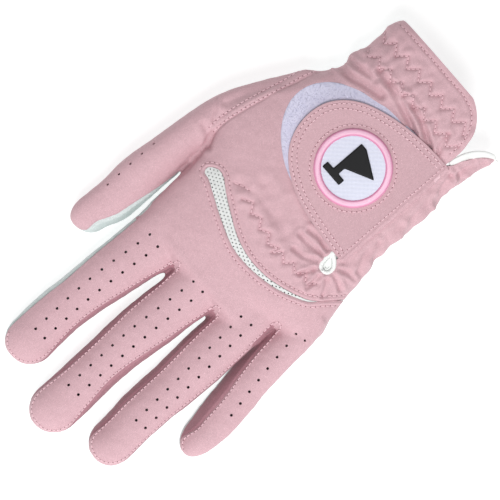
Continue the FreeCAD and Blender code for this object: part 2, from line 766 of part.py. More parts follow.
def check_and_write():
    for item in doc.Objects:
        bad = {"Invalid", "Error"} & set(item.State)
        if bad:
            raise RuntimeError(f"{item.Label} failed: {bad}")
    os.makedirs(OUT, exist_ok=True)
    for label, item in sorted(sub_parts().items()):
        shape = item.Shape
        if shape.isNull() or not shape.isValid() or not shape.Solids:
            raise RuntimeError(f"{label} has no valid solid")
        if min(s.Volume for s in shape.Solids) <= 0:
            raise RuntimeError(f"{label} has a solid with no volume")
        shape.exportStep(os.path.join(OUT, f"{label}.step"))
        print(f"{label:32s} {len(shape.Solids)} solid(s) {shape.Volume:10.1f} mm3")


fill_sheet()
make_back_panel()
make_palm_panel()
make_thumb_base()
make_quirk()
for stall in STALLS:
    make_stall(stall)
make_vent()
make_knuckle_elastic()
make_cuff_elastics()
make_slit_facing()
make_cuff_binding()
make_tab_seam_welt()
make_bar_tacks()
make_closure()
make_badge()
doc.recompute()
check_and_write()
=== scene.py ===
"""The looks of a left-hand golf glove lying palm down.

The glove is made the way a glove form is dressed. A closed form of the hand is lofted, fused and relaxed,
sculpted with its seams, gathers and folds, and then cut along the pattern lines into the leather panels,
each with its own thickness. Trims, stitches, vent, closure tab and badge are made on top of it.

Lengths in this script are millimetres in the shared frame, and meshes are stored in metres.
"""

import json
import math

import bpy
import numpy as np
from mathutils import Matrix, Vector
from mathutils.bvhtree import BVHTree


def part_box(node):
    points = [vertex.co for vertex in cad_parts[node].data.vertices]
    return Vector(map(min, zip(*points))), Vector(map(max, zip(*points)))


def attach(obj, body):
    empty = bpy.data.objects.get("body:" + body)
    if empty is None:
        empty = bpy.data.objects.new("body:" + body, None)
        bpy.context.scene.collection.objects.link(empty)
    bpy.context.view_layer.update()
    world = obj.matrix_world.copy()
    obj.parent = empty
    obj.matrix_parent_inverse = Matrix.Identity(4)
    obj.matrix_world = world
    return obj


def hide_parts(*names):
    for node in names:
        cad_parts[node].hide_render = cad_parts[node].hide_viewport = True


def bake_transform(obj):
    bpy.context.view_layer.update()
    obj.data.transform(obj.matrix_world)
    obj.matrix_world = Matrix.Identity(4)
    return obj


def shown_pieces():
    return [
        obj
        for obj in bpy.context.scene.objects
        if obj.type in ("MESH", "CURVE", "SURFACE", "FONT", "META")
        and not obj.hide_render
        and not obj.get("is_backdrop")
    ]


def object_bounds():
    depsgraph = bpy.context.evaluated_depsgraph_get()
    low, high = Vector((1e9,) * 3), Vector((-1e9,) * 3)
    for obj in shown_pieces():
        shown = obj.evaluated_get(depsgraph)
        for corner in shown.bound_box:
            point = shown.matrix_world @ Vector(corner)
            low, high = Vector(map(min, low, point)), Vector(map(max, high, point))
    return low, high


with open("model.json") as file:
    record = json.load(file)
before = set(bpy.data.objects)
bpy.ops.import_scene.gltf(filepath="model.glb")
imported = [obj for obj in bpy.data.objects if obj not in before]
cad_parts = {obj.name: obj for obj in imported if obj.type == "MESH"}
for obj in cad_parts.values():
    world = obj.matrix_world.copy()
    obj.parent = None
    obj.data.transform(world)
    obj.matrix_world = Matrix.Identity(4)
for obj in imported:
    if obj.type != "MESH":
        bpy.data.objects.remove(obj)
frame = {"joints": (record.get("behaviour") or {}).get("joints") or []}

MM = 0.001
CAD_BOX = [list(corner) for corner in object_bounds()]
FAR = 99.0  # stands for any distance that is too large to matter
TINY = 1e-12


def edge_of(node, corner, axis):
    """A coordinate of a CAD node's box, in millimetres. corner is 0 for low and 1 for high."""
    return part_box(node)[corner][axis] / MM


def joint_point(name):
    joint = next(j for j in frame["joints"] if j["name"] == name)
    return np.array(joint["pos_m"]) / MM


CUFF_Y = edge_of("back_panel", 0, 1) + 0.7
TAB_ROOT_X = edge_of("tab_leather", 0, 0)
BADGE_X = (edge_of("badge_disc", 0, 0) + edge_of("badge_disc", 1, 0)) / 2
BADGE_Y = (edge_of("badge_disc", 0, 1) + edge_of("badge_disc", 1, 1)) / 2
BADGE = np.array([BADGE_X, BADGE_Y])
LEATHER = 0.8
VOXEL = 0.65  # grid of the fused form
EYE_CENTRE = np.array([-23.6, -13.2])
BAND_DEPTH = 0.95  # an elastic lies this far below the skin
CUFF_BANDS = {"cuff_elastic_upper": -78.2, "cuff_elastic_lower": -86.2}
TAB_ROWS = (1.35, 3.25)  # stitch rows, in from the tab's edge
BADGE_ROW = 16.7  # radius of the stitch row round the badge

# ================================================================ curves and fields


def profile(rows):
    """Smooth values against the first column of rows, passing through every row."""
    rows = np.array(rows, float)
    t, v = rows[:, 0], rows[:, 1:]
    slope = np.gradient(v, t, axis=0)

    def value(at):
        at = np.clip(np.asarray(at, float), t[0], t[-1])
        i = np.clip(np.searchsorted(t, at, side="right") - 1, 0, len(t) - 2)
        span = (t[i + 1] - t[i])[..., None]
        s = (at - t[i])[..., None] / span
        rise = s * s * (3 - 2 * s)
        tangents = slope[i] * s * (1 - s) ** 2 + slope[i + 1] * s * s * (s - 1)
        return v[i] * (1 - rise) + v[i + 1] * rise + span * tangents

    return value


def curve(points, step=0.5, closed=False):
    """A smooth line through the points, sampled at equal steps."""
    p = np.array(points, float)
    if closed:
        p = np.vstack([p, p[:1]])
    chord = np.r_[0, np.cumsum(np.linalg.norm(np.diff(p, axis=0), axis=1))]
    if closed:
        p = np.vstack([p[-2], p, p[1]])
        ends = chord[-1] - chord[-2], chord[1] - chord[0]
        chord = np.r_[-ends[0], chord, chord[-1] + ends[1]]
        low, high = chord[1], chord[-2]
    else:
        low, high = chord[0], chord[-1]
    dense = profile(np.column_stack([chord, p]))(np.linspace(low, high, 40 * len(p)))
    return resample(dense, step)


def resample(line, step):
    run = np.r_[0, np.cumsum(np.linalg.norm(np.diff(line, axis=0), axis=1))]
    count = max(2, int(round(run[-1] / step)) + 1)
    at = np.linspace(0, run[-1], count)
    return np.column_stack([np.interp(at, run, line[:, k]) for k in range(line.shape[1])])


def nearest(points, line):
    """Distance to a line in plan, with the sign of its left side, and the run along it."""
    a, b = line[:-1], line[1:]
    ab = b - a
    length = np.linalg.norm(ab, axis=1)
    start = np.r_[0, np.cumsum(length)[:-1]]
    signed, along = np.empty(len(points)), np.empty(len(points))
    for low in range(0, len(points), 8000):
        p = points[low : low + 8000, None, :2]
        t = np.clip(((p - a) * ab).sum(2) / (length**2 + TINY), 0, 1)
        gap = p - (a + t[..., None] * ab)
        d = np.hypot(gap[..., 0], gap[..., 1])
        k = d.argmin(1)
        rows = np.arange(len(k))
        side = ab[k, 0] * gap[rows, k, 1] - ab[k, 1] * gap[rows, k, 0]
        signed[low : low + 8000] = d[rows, k] * np.where(side >= 0, 1, -1)
        along[low : low + 8000] = start[k] + t[rows, k] * length[k]
    return signed, along


def near_box(points, line, margin):
    """Which points are close enough to the line's box to matter."""
    low, high = line.min(0) - margin, line.max(0) + margin
    return ((points[:, :2] > low) & (points[:, :2] < high)).all(1)


def distance(points, line, margin=6.0):
    """Unsigned plan distance to a line, and a large number further off than margin."""
    out = np.full(len(points), FAR)
    close = near_box(points, line, margin)
    if close.any():
        out[close] = np.abs(nearest(points[close], line)[0])
    return out


def inside(points, outline):
    """Signed plan distance to a closed outline, positive inside it."""
    loop = np.vstack([outline, outline[:1]])
    d = np.abs(nearest(points, loop)[0])
    a, b = loop[:-1], loop[1:]
    crossings = np.zeros(len(points), int)
    for low in range(0, len(points), 20000):
        p = points[low : low + 20000, None, :2]
        spans = (a[:, 1] > p[..., 1]) != (b[:, 1] > p[..., 1])
        rise = np.where(b[:, 1] == a[:, 1], 1e-9, b[:, 1] - a[:, 1])
        cut = a[:, 0] + (p[..., 1] - a[:, 1]) / rise * (b[:, 0] - a[:, 0])
        crossings[low : low + 20000] = (spans & (p[..., 0] < cut)).sum(1)
    return np.where(crossings % 2 == 1, d, -d)


def step_up(value, low, high):
    t = np.clip((value - low) / (high - low), 0, 1)
    return t * t * (3 - 2 * t)


def ripple(points, wavelength, seed, stretch=(1, 1, 1)):
    """Smooth irregular waves of about one wavelength, between about -1 and 1."""
    rng = np.random.default_rng(seed)
    out = np.zeros(len(points))
    for _ in range(14):
        heading = rng.normal(size=3)
        heading *= 2 * math.pi / wavelength / np.linalg.norm(heading) * rng.uniform(0.6, 1.4)
        out += np.sin(points @ (heading / np.array(stretch)) + rng.uniform(0, 2 * math.pi))
    return out / 14**0.5 / 1.4


# ================================================================ the hand form

# Y, left and right outline, top and underside of the hand.
HAND = profile([
    (-101, -35.6, 25.5, 31, 0.3), (-97, -35.6, 28.2, 31, 0.3), (-95, -35.6, 29.6, 30.9, 0.2),
    (-90, -35.7, 30.9, 30.6, 0.2), (-87, -35.9, 30.2, 30.3, 0.2), (-83.5, -34.6, 30.2, 30.2, 0.1),
    (-79, -33.9, 30, 29.9, 0.1), (-74, -33.6, 31.6, 29, 0.2), (-71, -33.1, 31, 28.5, 0.2),
    (-67.5, -32.4, 30.3, 28.3, 0.2), (-62.5, -33.05, 32.6, 28.4, 0), (-60, -33.75, 34.2, 28.4, 0),
    (-55, -34.35, 38.88, 28.6, 0), (-50, -34.75, 41.58, 28.6, 0), (-46, -34.35, 43.72, 28.6, 0),
    (-41, -34.55, 46.32, 28.6, 0), (-36, -34.05, 48.68, 28.5, 0), (-31, -34.25, 50.28, 28.4, 0),
    (-28.5, -34.05, 50.58, 28.4, 0), (-25.5, -35.15, 50.5, 28.3, 0), (-20, -36.05, 48.6, 28.2, 0),
    (-17, -36.35, 46.6, 28.2, 0), (-13, -37.45, 44.2, 28, 0), (-9, -38.25, 42.4, 27.8, 0),
    (0, -40.65, 40.8, 27, 0), (9, -42.65, 39.7, 25.8, 0), (14, -40.5, 39.3, 24.8, 0.2),
    (18.5, -28.6, 39, 23.8, 0.5), (25, -28.2, 38.8, 22.4, 0.9), (29.5, -28, 38.4, 20.9, 1.4),
    (31.5, -27.6, 38, 17.2, 1.6), (33.5, -26.8, 37, 11.5, 2.2), (36, -25, 36, 6.8, 3),
])
HAND_POWER = 2.6

# Stalls: Y, left and right outline, underside and top in each row, then the tip, and how far the back
# leans to the little side.
FINGERS = {
    "index": {
        "rows": [
            (14, 15.5, 38.6, 1.6, 22.2), (32, 15.1, 38.6, 2, 20.4), (36, 15.2, 38.7, 1.8, 19.8),
            (40, 16.1, 38.8, 1.6, 19.2), (50, 17.6, 39.2, 1.2, 18.2), (60, 19.1, 39.4, 1, 17.4),
            (70, 20.2, 39.6, 0.8, 16.8), (80, 20.3, 39.8, 0.7, 16.4), (92, 19.8, 39.5, 0.6, 15.8),
        ],
        "tip": (29.6, 102.7),
        "lean": 0.6,
    },
    "middle": {
        "rows": [
            (14, -8.2, 13.8, 1.6, 22.4), (32, -8.1, 13.9, 2, 20.8), (36, -7.95, 14, 1.8, 20.2),
            (40, -7.4, 13.9, 1.6, 19.6), (50, -6.7, 14.4, 1.2, 18.6), (60, -6.1, 14.5, 1, 17.8),
            (70, -5.4, 14.1, 0.8, 17.2), (80, -5.1, 13.7, 0.7, 16.8), (92, -6.1, 13, 0.6, 16.4),
            (102, -6.4, 12.8, 0.5, 16),
        ],
        "tip": (3.6, 113.0),
        "lean": 0.9,
    },
    "ring": {
        "rows": [
            (14, -28, -9.6, 1.6, 21.4), (32, -28.9, -9.1, 2, 19.8), (36, -29.1, -9.05, 1.8, 19.3),
            (40, -29.3, -9, 1.6, 18.8), (50, -29.5, -9.4, 1.2, 17.8), (60, -29.4, -10.1, 1, 17),
            (70, -29, -10.6, 0.8, 16.6), (80, -29.2, -11.1, 0.7, 16.2), (94, -30, -12.2, 0.6, 15.6),
        ],
        "tip": (-21.2, 104.0),
        "lean": 2.5,
    },
    "little": {
        "rows": [
            (2, -40.6, -27, 1.6, 22), (10, -42.6, -28, 1.8, 20.6), (20, -43.5, -28.4, 1.6, 19),
            (30, -44.7, -28.8, 1.4, 17.6), (40, -46, -29.6, 1.2, 16.6), (50, -47.6, -31.3, 1, 15.8),
            (60, -48.6, -33.2, 0.8, 15), (66, -48.4, -34.5, 0.7, 14.6),
        ],
        "tip": (-42.4, 77.0),
        "lean": 3.1,
    },
    "thumb": {
        "rows": [
            (-48, 30, 40.2, 3, 20), (-38, 33, 47.4, 1.4, 21.6), (-28, 36, 52, 0.8, 22),
            (-18, 38.6, 54.9, 0.4, 21.8), (-8, 40.2, 55.8, 0.3, 21.4), (2, 40.8, 56.7, 0.3, 21),
            (12, 40.9, 57.7, 0.3, 20.2), (21, 40.9, 58.2, 0.3, 18.8), (29, 40.6, 57.6, 0.3, 17.2),
            (36, 41, 57.8, 0.3, 15.8), (43, 43.4, 58, 0.3, 14.6),
        ],
        "tip": (52.4, 51.2),
        "lean": -1.8,
    },
}
STALL_POWER = 2.25
# Root line of each stall, where its own body begins.
ROOTS = {name: joint_point(f"{name}_flex")[1] - 0.5 for name in FINGERS}
THUMB_FORK_X = 40.2
GAP_LEAN = 0.36  # sideways shift of the gap between the ring and little stalls, per millimetre of height
# X of the gap on the little-finger side of each stall, against Y.
FORKS = {
    "index": [(20, 14.4), (32, 14.45), (40, 15.1), (50, 16.3), (60, 17.2), (112, 16.6)],
    "middle": [(20, -8.6), (32, -8.65), (40, -8.2), (50, -7.8), (60, -7.9), (112, -9.0)],
    "ring": [(14, -28.5), (20, -28.5), (30, -28.75), (40, -29.4), (50, -30.5), (60, -31.3), (80, -32.5)],
}


def along(rows, y):
    """One smooth value against Y."""
    return profile(rows)(y)[..., 0]


def section(left, right, low, high, y, power, lean=0.0, count=72):
    """A closed superellipse in the plane of one Y, with its top shifted sideways by lean."""
    turn = np.linspace(0, 2 * math.pi, count, endpoint=False)
    c, s = np.cos(turn), np.sin(turn)
    half = math.sqrt(((right - left) / 2) ** 2 - lean**2)
    rise = np.sign(s) * np.abs(s) ** (2 / power)
    x = (left + right) / 2 + half * np.sign(c) * np.abs(c) ** (2 / power) - lean * rise
    z = (low + high) / 2 + (high - low) / 2 * rise
    return np.column_stack([x, np.full(count, float(y)), z])


def loft(sections):
    """Points and faces of a closed loft through sections of equal count."""
    count, rows = len(sections[0]), len(sections)
    points = np.vstack(sections)
    faces = [list(range(count)), list(range((rows - 1) * count, rows * count))[::-1]]
    for r in range(rows - 1):
        for k in range(count):
            a, b = r * count + k, r * count + (k + 1) % count
            faces.append([b, a, a + count, b + count])
    return points, faces


def hand_loft():
    return loft([
        section(left, right, low, high, y, HAND_POWER)
        for y in np.arange(-101, 36.1, 1.0)
        for left, right, high, low in [HAND(y)]
    ])


def finger_loft(spec):
    """A stall: straight rows, then a tip that rounds off towards its end point."""
    rows = profile(spec["rows"])
    first, last = spec["rows"][0][0], spec["rows"][-1][0]
    tip_x, tip_y = spec["tip"]
    sections = []
    for y in np.arange(first, last, 1.5):
        left, right, low, high = rows(y)
        sections.append(section(left, right, low, high, y, STALL_POWER, spec["lean"]))
    left, right, low, high = rows(last)
    for turn in np.radians(np.linspace(0, 88, 14)):
        y = last + (tip_y - last) * math.sin(turn)
        shrink = math.cos(turn) ** 0.9
        drift = (1 - math.cos(turn)) * (tip_x - (left + right) / 2)
        middle, half = (left + right) / 2 + drift, (right - left) / 2 * shrink
        height, rise = (low + high) / 2, (high - low) / 2 * math.cos(turn) ** 0.8
        lean = spec["lean"] * shrink
        box = middle - half, middle + half, height - rise, height + rise
        sections.append(section(*box, y, STALL_POWER, lean))
    return loft(sections)


def blender_mesh(name, points, faces):
    mesh = bpy.data.meshes.new(name)
    mesh.from_pydata([tuple(p) for p in points], [], faces)
    return mesh


def fused_form():
    """The hand and stalls as one skin: fused on a fine grid, then relaxed."""
    points, faces, base = [], [], 0
    for part_points, part_faces in [hand_loft()] + [finger_loft(s) for s in FINGERS.values()]:
        points.append(part_points)
        faces += [[i + base for i in f] for f in part_faces]
        base += len(part_points)
    work = bpy.data.objects.new("form", blender_mesh("form", np.vstack(points), faces))
    bpy.context.scene.collection.objects.link(work)
    remesh = work.modifiers.new("fuse", "REMESH")
    remesh.mode = "VOXEL"
    remesh.voxel_size = VOXEL
    relax = work.modifiers.new("relax", "SMOOTH")
    relax.factor, relax.iterations = 0.5, 14
    work.modifiers.new("triangles", "TRIANGULATE")
    done = bpy.data.meshes.new_from_object(work.evaluated_get(bpy.context.evaluated_depsgraph_get()))
    co = np.empty(len(done.vertices) * 3, np.float32)
    done.vertices.foreach_get("co", co)
    tri = np.empty(len(done.polygons) * 3, np.int32)
    done.polygons.foreach_get("vertices", tri)
    bpy.data.objects.remove(work)
    return co.reshape(-1, 3).astype(float), tri.reshape(-1, 3)


# ================================================================ skins: points, faces and fields


def unit(vectors):
    return vectors / (np.linalg.norm(vectors, axis=-1, keepdims=True) + TINY)


class Skin:
    """A triangle mesh in numpy, with any number of values at its points."""

    def __init__(self, points, faces, **fields):
        self.points, self.faces, self.fields = points, faces, fields

    def normals(self):
        p = self.points
        a, b, c = (p[self.faces[:, k]] for k in range(3))
        face = np.cross(b - a, c - a)
        out = np.zeros_like(p)
        for k in range(3):
            for axis in range(3):
                out[:, axis] += np.bincount(self.faces[:, k], face[:, axis], len(p))
        return unit(out)

    def split(self, edges, share, faces):
        """New skin with one new point on each edge, at share of its length."""
        a, b = edges[:, 0], edges[:, 1]

        def grown(v):
            s = share if v.ndim == 1 else share[:, None]
            return np.concatenate([v, v[a] * (1 - s) + v[b] * s])

        return Skin(grown(self.points), faces, **{k: grown(v) for k, v in self.fields.items()})

    def tidy(self):
        """Drops points that no face uses, and faces with no area."""
        a, b, c = (self.points[self.faces[:, k]] for k in range(3))
        real = np.linalg.norm(np.cross(b - a, c - a), axis=1) > 1e-7
        faces = self.faces[real]
        used, index = np.unique(faces, return_inverse=True)
        return Skin(self.points[used], index.reshape(-1, 3), **{k: v[used] for k, v in self.fields.items()})


def halves(a, b, c, d):
    """The two triangles of each four-sided face."""
    return np.vstack([np.column_stack([a.ravel(), b.ravel(), c.ravel()]),
                      np.column_stack([a.ravel(), c.ravel(), d.ravel()])])


def edge_keys(pairs, count):
    low, high = pairs.min(1).astype(np.int64), pairs.max(1).astype(np.int64)
    return low * count + high


def clip(skin, field):
    """The part of a skin where field is positive, cut cleanly along its zero line."""
    if (field > 0).all():
        return skin
    tri, count = skin.faces, len(skin.points)
    positive = field > 0
    n_in = positive[tri].sum(1)
    whole = tri[n_in == 3]
    parts, crossed = [whole], []
    for kind in (1, 2):
        some = tri[n_in == kind]
        odd = positive[some] if kind == 1 else ~positive[some]
        first = odd.argmax(1)
        rows = np.arange(len(some))
        order = np.column_stack([some[rows, (first + k) % 3] for k in range(3)])
        crossed.append(order)
    pairs = np.vstack([o[:, pick] for o in crossed for pick in ([0, 1], [0, 2])])
    keys, where = np.unique(edge_keys(pairs, count), return_inverse=True)
    ends = np.column_stack([keys // count, keys % count])
    fa, fb = field[ends[:, 0]], field[ends[:, 1]]
    share = fa / np.where(fa == fb, 1e-9, fa - fb)
    n1, n2 = len(crossed[0]), len(crossed[1])
    cut = where + count
    one_ab, one_ac = cut[:n1], cut[n1 : 2 * n1]
    two_ab, two_ac = cut[2 * n1 : 2 * n1 + n2], cut[2 * n1 + n2 :]
    lone, pair = crossed
    parts.append(np.column_stack([lone[:, 0], one_ab, one_ac]))
    parts.append(np.column_stack([two_ab, pair[:, 1], pair[:, 2]]))
    parts.append(np.column_stack([two_ab, pair[:, 2], two_ac]))
    return skin.split(ends, share, np.vstack(parts)).tidy()


def refine(skin, near):
    """Halves every edge of the faces that near picks, and closes the seams around them."""
    tri, count = skin.faces, len(skin.points)
    sides = [tri[:, [0, 1]], tri[:, [1, 2]], tri[:, [2, 0]]]
    keys = np.column_stack([edge_keys(s, count) for s in sides])
    halved = np.unique(keys[near])
    if not len(halved):
        return skin
    ends = np.column_stack([halved // count, halved % count])
    at = np.searchsorted(halved, keys)
    at = np.minimum(at, len(halved) - 1)
    has = halved[at] == keys
    mid = at + count
    n = has.sum(1)
    parts = [tri[n == 0]]
    t, m = tri[n == 3], mid[n == 3]
    parts += [np.column_stack([t[:, k], m[:, k], m[:, k - 1]]) for k in range(3)] + [m]
    for kind in (1, 2):
        t, m, h = tri[n == kind], mid[n == kind], has[n == kind]
        rows = np.arange(len(t))
        first = (h if kind == 1 else ~h).argmax(1)
        t = np.column_stack([t[rows, (first + k) % 3] for k in range(3)])
        m = np.column_stack([m[rows, (first + k) % 3] for k in range(3)])
        if kind == 1:
            parts += [
                np.column_stack([t[:, 0], m[:, 0], t[:, 2]]),
                np.column_stack([m[:, 0], t[:, 1], t[:, 2]]),
            ]
        else:
            parts += [
                np.column_stack([m[:, 1], t[:, 2], m[:, 2]]),
                np.column_stack([t[:, 0], t[:, 1], m[:, 1]]),
                np.column_stack([t[:, 0], m[:, 1], m[:, 2]]),
            ]
    return skin.split(ends, np.full(len(ends), 0.5), np.vstack(parts))


def solid(name, skin, thickness, material):
    """A Blender object from a skin, given thickness inwards, with the skin's own shading normals."""
    outer = skin.points
    normal = unit(skin.fields["normal"])
    inner = outer - normal * thickness
    count, tri = len(outer), skin.faces
    sides = np.vstack([tri[:, [0, 1]], tri[:, [1, 2]], tri[:, [2, 0]]])
    keys = edge_keys(sides, count)
    _, index, times = np.unique(keys, return_index=True, return_counts=True)
    rim = sides[index[times == 1]]
    rim_a = np.column_stack([rim[:, 1], rim[:, 0], rim[:, 0] + count])
    rim_b = np.column_stack([rim[:, 1], rim[:, 0] + count, rim[:, 1] + count])
    faces = np.vstack([tri, tri[:, ::-1] + count, rim_a, rim_b])
    points = np.vstack([outer, inner])
    corner = np.vstack([normal, -normal])[faces.reshape(-1)]
    a, b, c = (points[faces[:, k]] for k in range(3))
    first_rim = 2 * len(tri)
    corner[3 * first_rim :] = np.repeat(unit(np.cross(b - a, c - a))[first_rim:], 3, axis=0)
    return mesh_object(name, points, faces, material, corner)


def mesh_object(name, points, faces, material, corner_normals=None):
    mesh = bpy.data.meshes.new(name)
    mesh.vertices.add(len(points))
    mesh.vertices.foreach_set("co", (points * MM).astype(np.float32).ravel())
    mesh.loops.add(len(faces) * 3)
    mesh.loops.foreach_set("vertex_index", faces.astype(np.int32).ravel())
    mesh.polygons.add(len(faces))
    mesh.polygons.foreach_set("loop_start", np.arange(0, len(faces) * 3, 3, dtype=np.int32))
    mesh.polygons.foreach_set("use_smooth", np.ones(len(faces), bool))
    mesh.update(calc_edges=True)
    if corner_normals is not None:
        mesh.normals_split_custom_set(corner_normals.tolist())
    mesh.materials.append(material)
    made = bpy.data.objects.new(name, mesh)
    bpy.context.scene.collection.objects.link(made)
    return made


# ================================================================ pattern lines, in plan

SIDE_SEAM = curve([
    (40.6, 6), (41.2, -4), (43, -12), (43.4, -17), (42.4, -26), (40.4, -36), (38.2, -46), (36.2, -55),
    (33.4, -60.5), (30.6, -62),
])
THUMB_FOLD = curve([(39.8, 8), (40.8, -2), (42.4, -10), (43.2, -13)])
THUMB_CREASE = curve([(43.2, -12), (47, -16), (51, -21), (56, -26)])
VENT = np.vstack([
    curve([
        (-41.5, -11.2), (-38, -8), (-33, -2.1), (-30, 1.9), (-25, 5), (-20, 7.4), (-10, 10.2), (-2, 11),
        (5, 10.6), (10, 9.2), (15, 7.4), (20, 5.4), (25, 3.2), (30, 0.9),
    ]),
    curve([
        (31.5, 0.4), (34.3, -0.2), (35, -1.8), (33.7, -3.9), (31.3, -5.2),
    ]),
    curve([
        (29.6, -5.2), (27.6, -4.6), (25, -2.9), (20, 0), (15, 2.5), (10, 5), (5, 6.8), (0, 7.9),
        (-5, 8.3), (-10, 8), (-15, 7.1), (-20, 5.5), (-25, 3.5), (-30, 0.7), (-33.3, -2.8), (-38.2, -9),
        (-41.5, -12.2),
    ]),
])
EYE = curve([
    (-23.8, -9.9), (-22.2, -10.6), (-21.4, -12.4), (-21.1, -14.8), (-21.4, -17.2), (-22.5, -16.6),
    (-24.6, -15.2), (-26, -13.4), (-26.1, -11.5), (-25.2, -10.2),
], closed=True)
CORNER = curve([
    (-24.2, -72), (-24.4, -77), (-23.6, -83), (-21.4, -89), (-17.5, -93.2), (-12.5, -96), (-6, -97.1),
])
FLAP_EDGE = curve([
    (-24.6, -71.6), (-26.2, -74), (-27.4, -77.6), (-29.4, -81.4), (-32, -85), (-35, -87.6),
    (-38, -88.6),
])
HEM = curve([
    (-22, -76), (-21.7, -82), (-19.6, -88), (-15.8, -92), (-10, -93.9), (0, -94.1), (29.5, -94),
])


def zigzag(start, end, amplitude, period, phase=0):
    """A zigzag seam between two points."""
    start, end = np.array(start, float), np.array(end, float)
    run = np.linalg.norm(end - start)
    ahead = (end - start) / run
    aside = np.array([-ahead[1], ahead[0]])
    peaks = int(round(run / period * 2))
    points = []
    for k in range(peaks + 1):
        sway = amplitude / 2 * (1 if (k + phase) % 2 else -1)
        points.append(start + ahead * run * k / peaks + aside * sway)
    return resample(np.array(points), 0.25)


ZIGZAGS = [
    np.vstack([zigzag((-26.5, -3.4), (-6, -1.2), 2.9, 6.2), zigzag((-6, -1.2), (16.4, -6.0), 2.9, 6.2)]),
    zigzag((-22, -78.2), (30, -78.2), 3.6, 6.7),
    zigzag((-20, -86.2), (30, -86.4), 3.8, 6.7, phase=1),
]
ZIGZAG_END = curve([(17.6, -8.6), (20, -8.0), (23.6, -6.2)])

# Root row and tip row of each column of perforations: X, Y at the root, middle and tip, and how many.
PERFORATIONS = {
    "index": [((24.2, 32), (26.3, 62), (26.0, 88), 11), ((29.8, 31.3), (32, 62), (31.1, 88.3), 11)],
    "middle": [((-0.2, 30.3), (1.2, 60), (1.1, 92.4), 12), ((5.1, 30.3), (6.9, 60), (6.4, 92.8), 12)],
    "ring": [((-22, 24.5), (-24.4, 59), (-25.5, 81.2), 11), ((-17, 25.3), (-19.4, 60), (-20.9, 82), 11)],
    "little": [((-35.9, 13.8), (-39.3, 33), (-43.4, 53), 8),
               ((-40.1, 12.8), (-43.2, 31), (-46.6, 51.3), 8)],
    "thumb": [((55.2, -16.5), (55.4, 8), (55.1, 31), 9)],
}
HOLE_RADIUS = 0.56


def perforations():
    holes = []
    for columns in PERFORATIONS.values():
        for start, middle, end, count in columns:
            line = curve([start, middle, end], step=0.1)
            holes.append(line[np.linspace(0, len(line) - 1, count).round().astype(int)])
    return np.vstack(holes)


# Turn of each seam of a stall against Y: palm to thumb side, thumb side to back, back to little side,
# little side to palm. 0 is the thumb side and 90 the back. Where two are equal there is no side strip
# between them.
SEAMS = {
    "index": [
        (30, 23, 23, 152, 206), (88, 25, 25, 152, 206), (96, 20, 20, 164, 192), (101, 4, 4, 178, 181),
    ],
    "middle": [
        (30, -26, 20, 152, 206), (100, -24, 18, 152, 206), (107, -6, 8, 168, 190),
        (111.5, 0, 1, 179, 181),
    ],
    "ring": [
        (30, -24, 18, 152, 208), (40, -24, 23, 152, 208), (60, -24, 27, 152, 208),
        (80, -24, 24, 152, 208), (95, -22, 20, 154, 206), (102, -2, 5, 176, 182),
    ],
    "little": [
        (17, -24, 12, 212, 212), (22, -24, 20, 212, 212), (30, -22, 28, 212, 212),
        (38, -20, 36, 212, 212), (50, -16, 45, 212, 212), (60, -16, 42, 210, 210),
        (68, -14, 36, 204, 204), (75, 0, 6, 184, 184),
    ],
    "thumb": [
        (8, -38, -38, 186, 186), (14, -38, -38, 174, 174), (20, -38, -38, 162, 162),
        (30, -38, -38, 146, 146), (40, -38, -38, 140, 140), (46, -30, -30, 138, 138),
        (51, -4, -4, 162, 162),
    ],
}


def seam_turns(name, y):
    return profile(SEAMS[name])(y).T


def seam_x(name, seam, y):
    """X of a seam on a stall, in plan."""
    left, right, _, _ = profile(FINGERS[name]["rows"])(y).T
    turn, lean = np.radians(seam_turns(name, y)[seam]), FINGERS[name]["lean"]
    c, s = np.cos(turn), np.sin(turn)
    reach = 1 / (np.abs(c) ** STALL_POWER + np.abs(s) ** STALL_POWER) ** (1 / STALL_POWER)
    return (left + right) / 2 + np.sqrt(((right - left) / 2) ** 2 - lean**2) * c * reach - lean * s * reach


def stall_angle(name, points):
    """Turn of each point about its stall's middle line, in degrees from -90 to 270."""
    left, right, low, high = profile(FINGERS[name]["rows"])(points[:, 1]).T
    lean = FINGERS[name]["lean"]
    w = (points[:, 2] - (low + high) / 2) / ((high - low) / 2)
    u = (points[:, 0] - (left + right) / 2 + lean * w) / np.sqrt(((right - left) / 2) ** 2 - lean**2)
    turn = np.degrees(np.arctan2(w, u))
    return np.where(turn < -90, turn + 360, turn)


def between_angles(turn, start, stop):
    """Positive between two turns, in degrees inside the nearer one. Turns may pass 270."""
    middle, half = (start + stop) / 2, (stop - start) / 2
    away = np.abs((turn - middle + 180) % 360 - 180)
    return half - away


# ================================================================ sculpting the form


def bell(d, at, width):
    return np.exp(-(((d - at) / width) ** 2))


def groove(d, width, depth):
    return -depth * bell(d, 0, width)


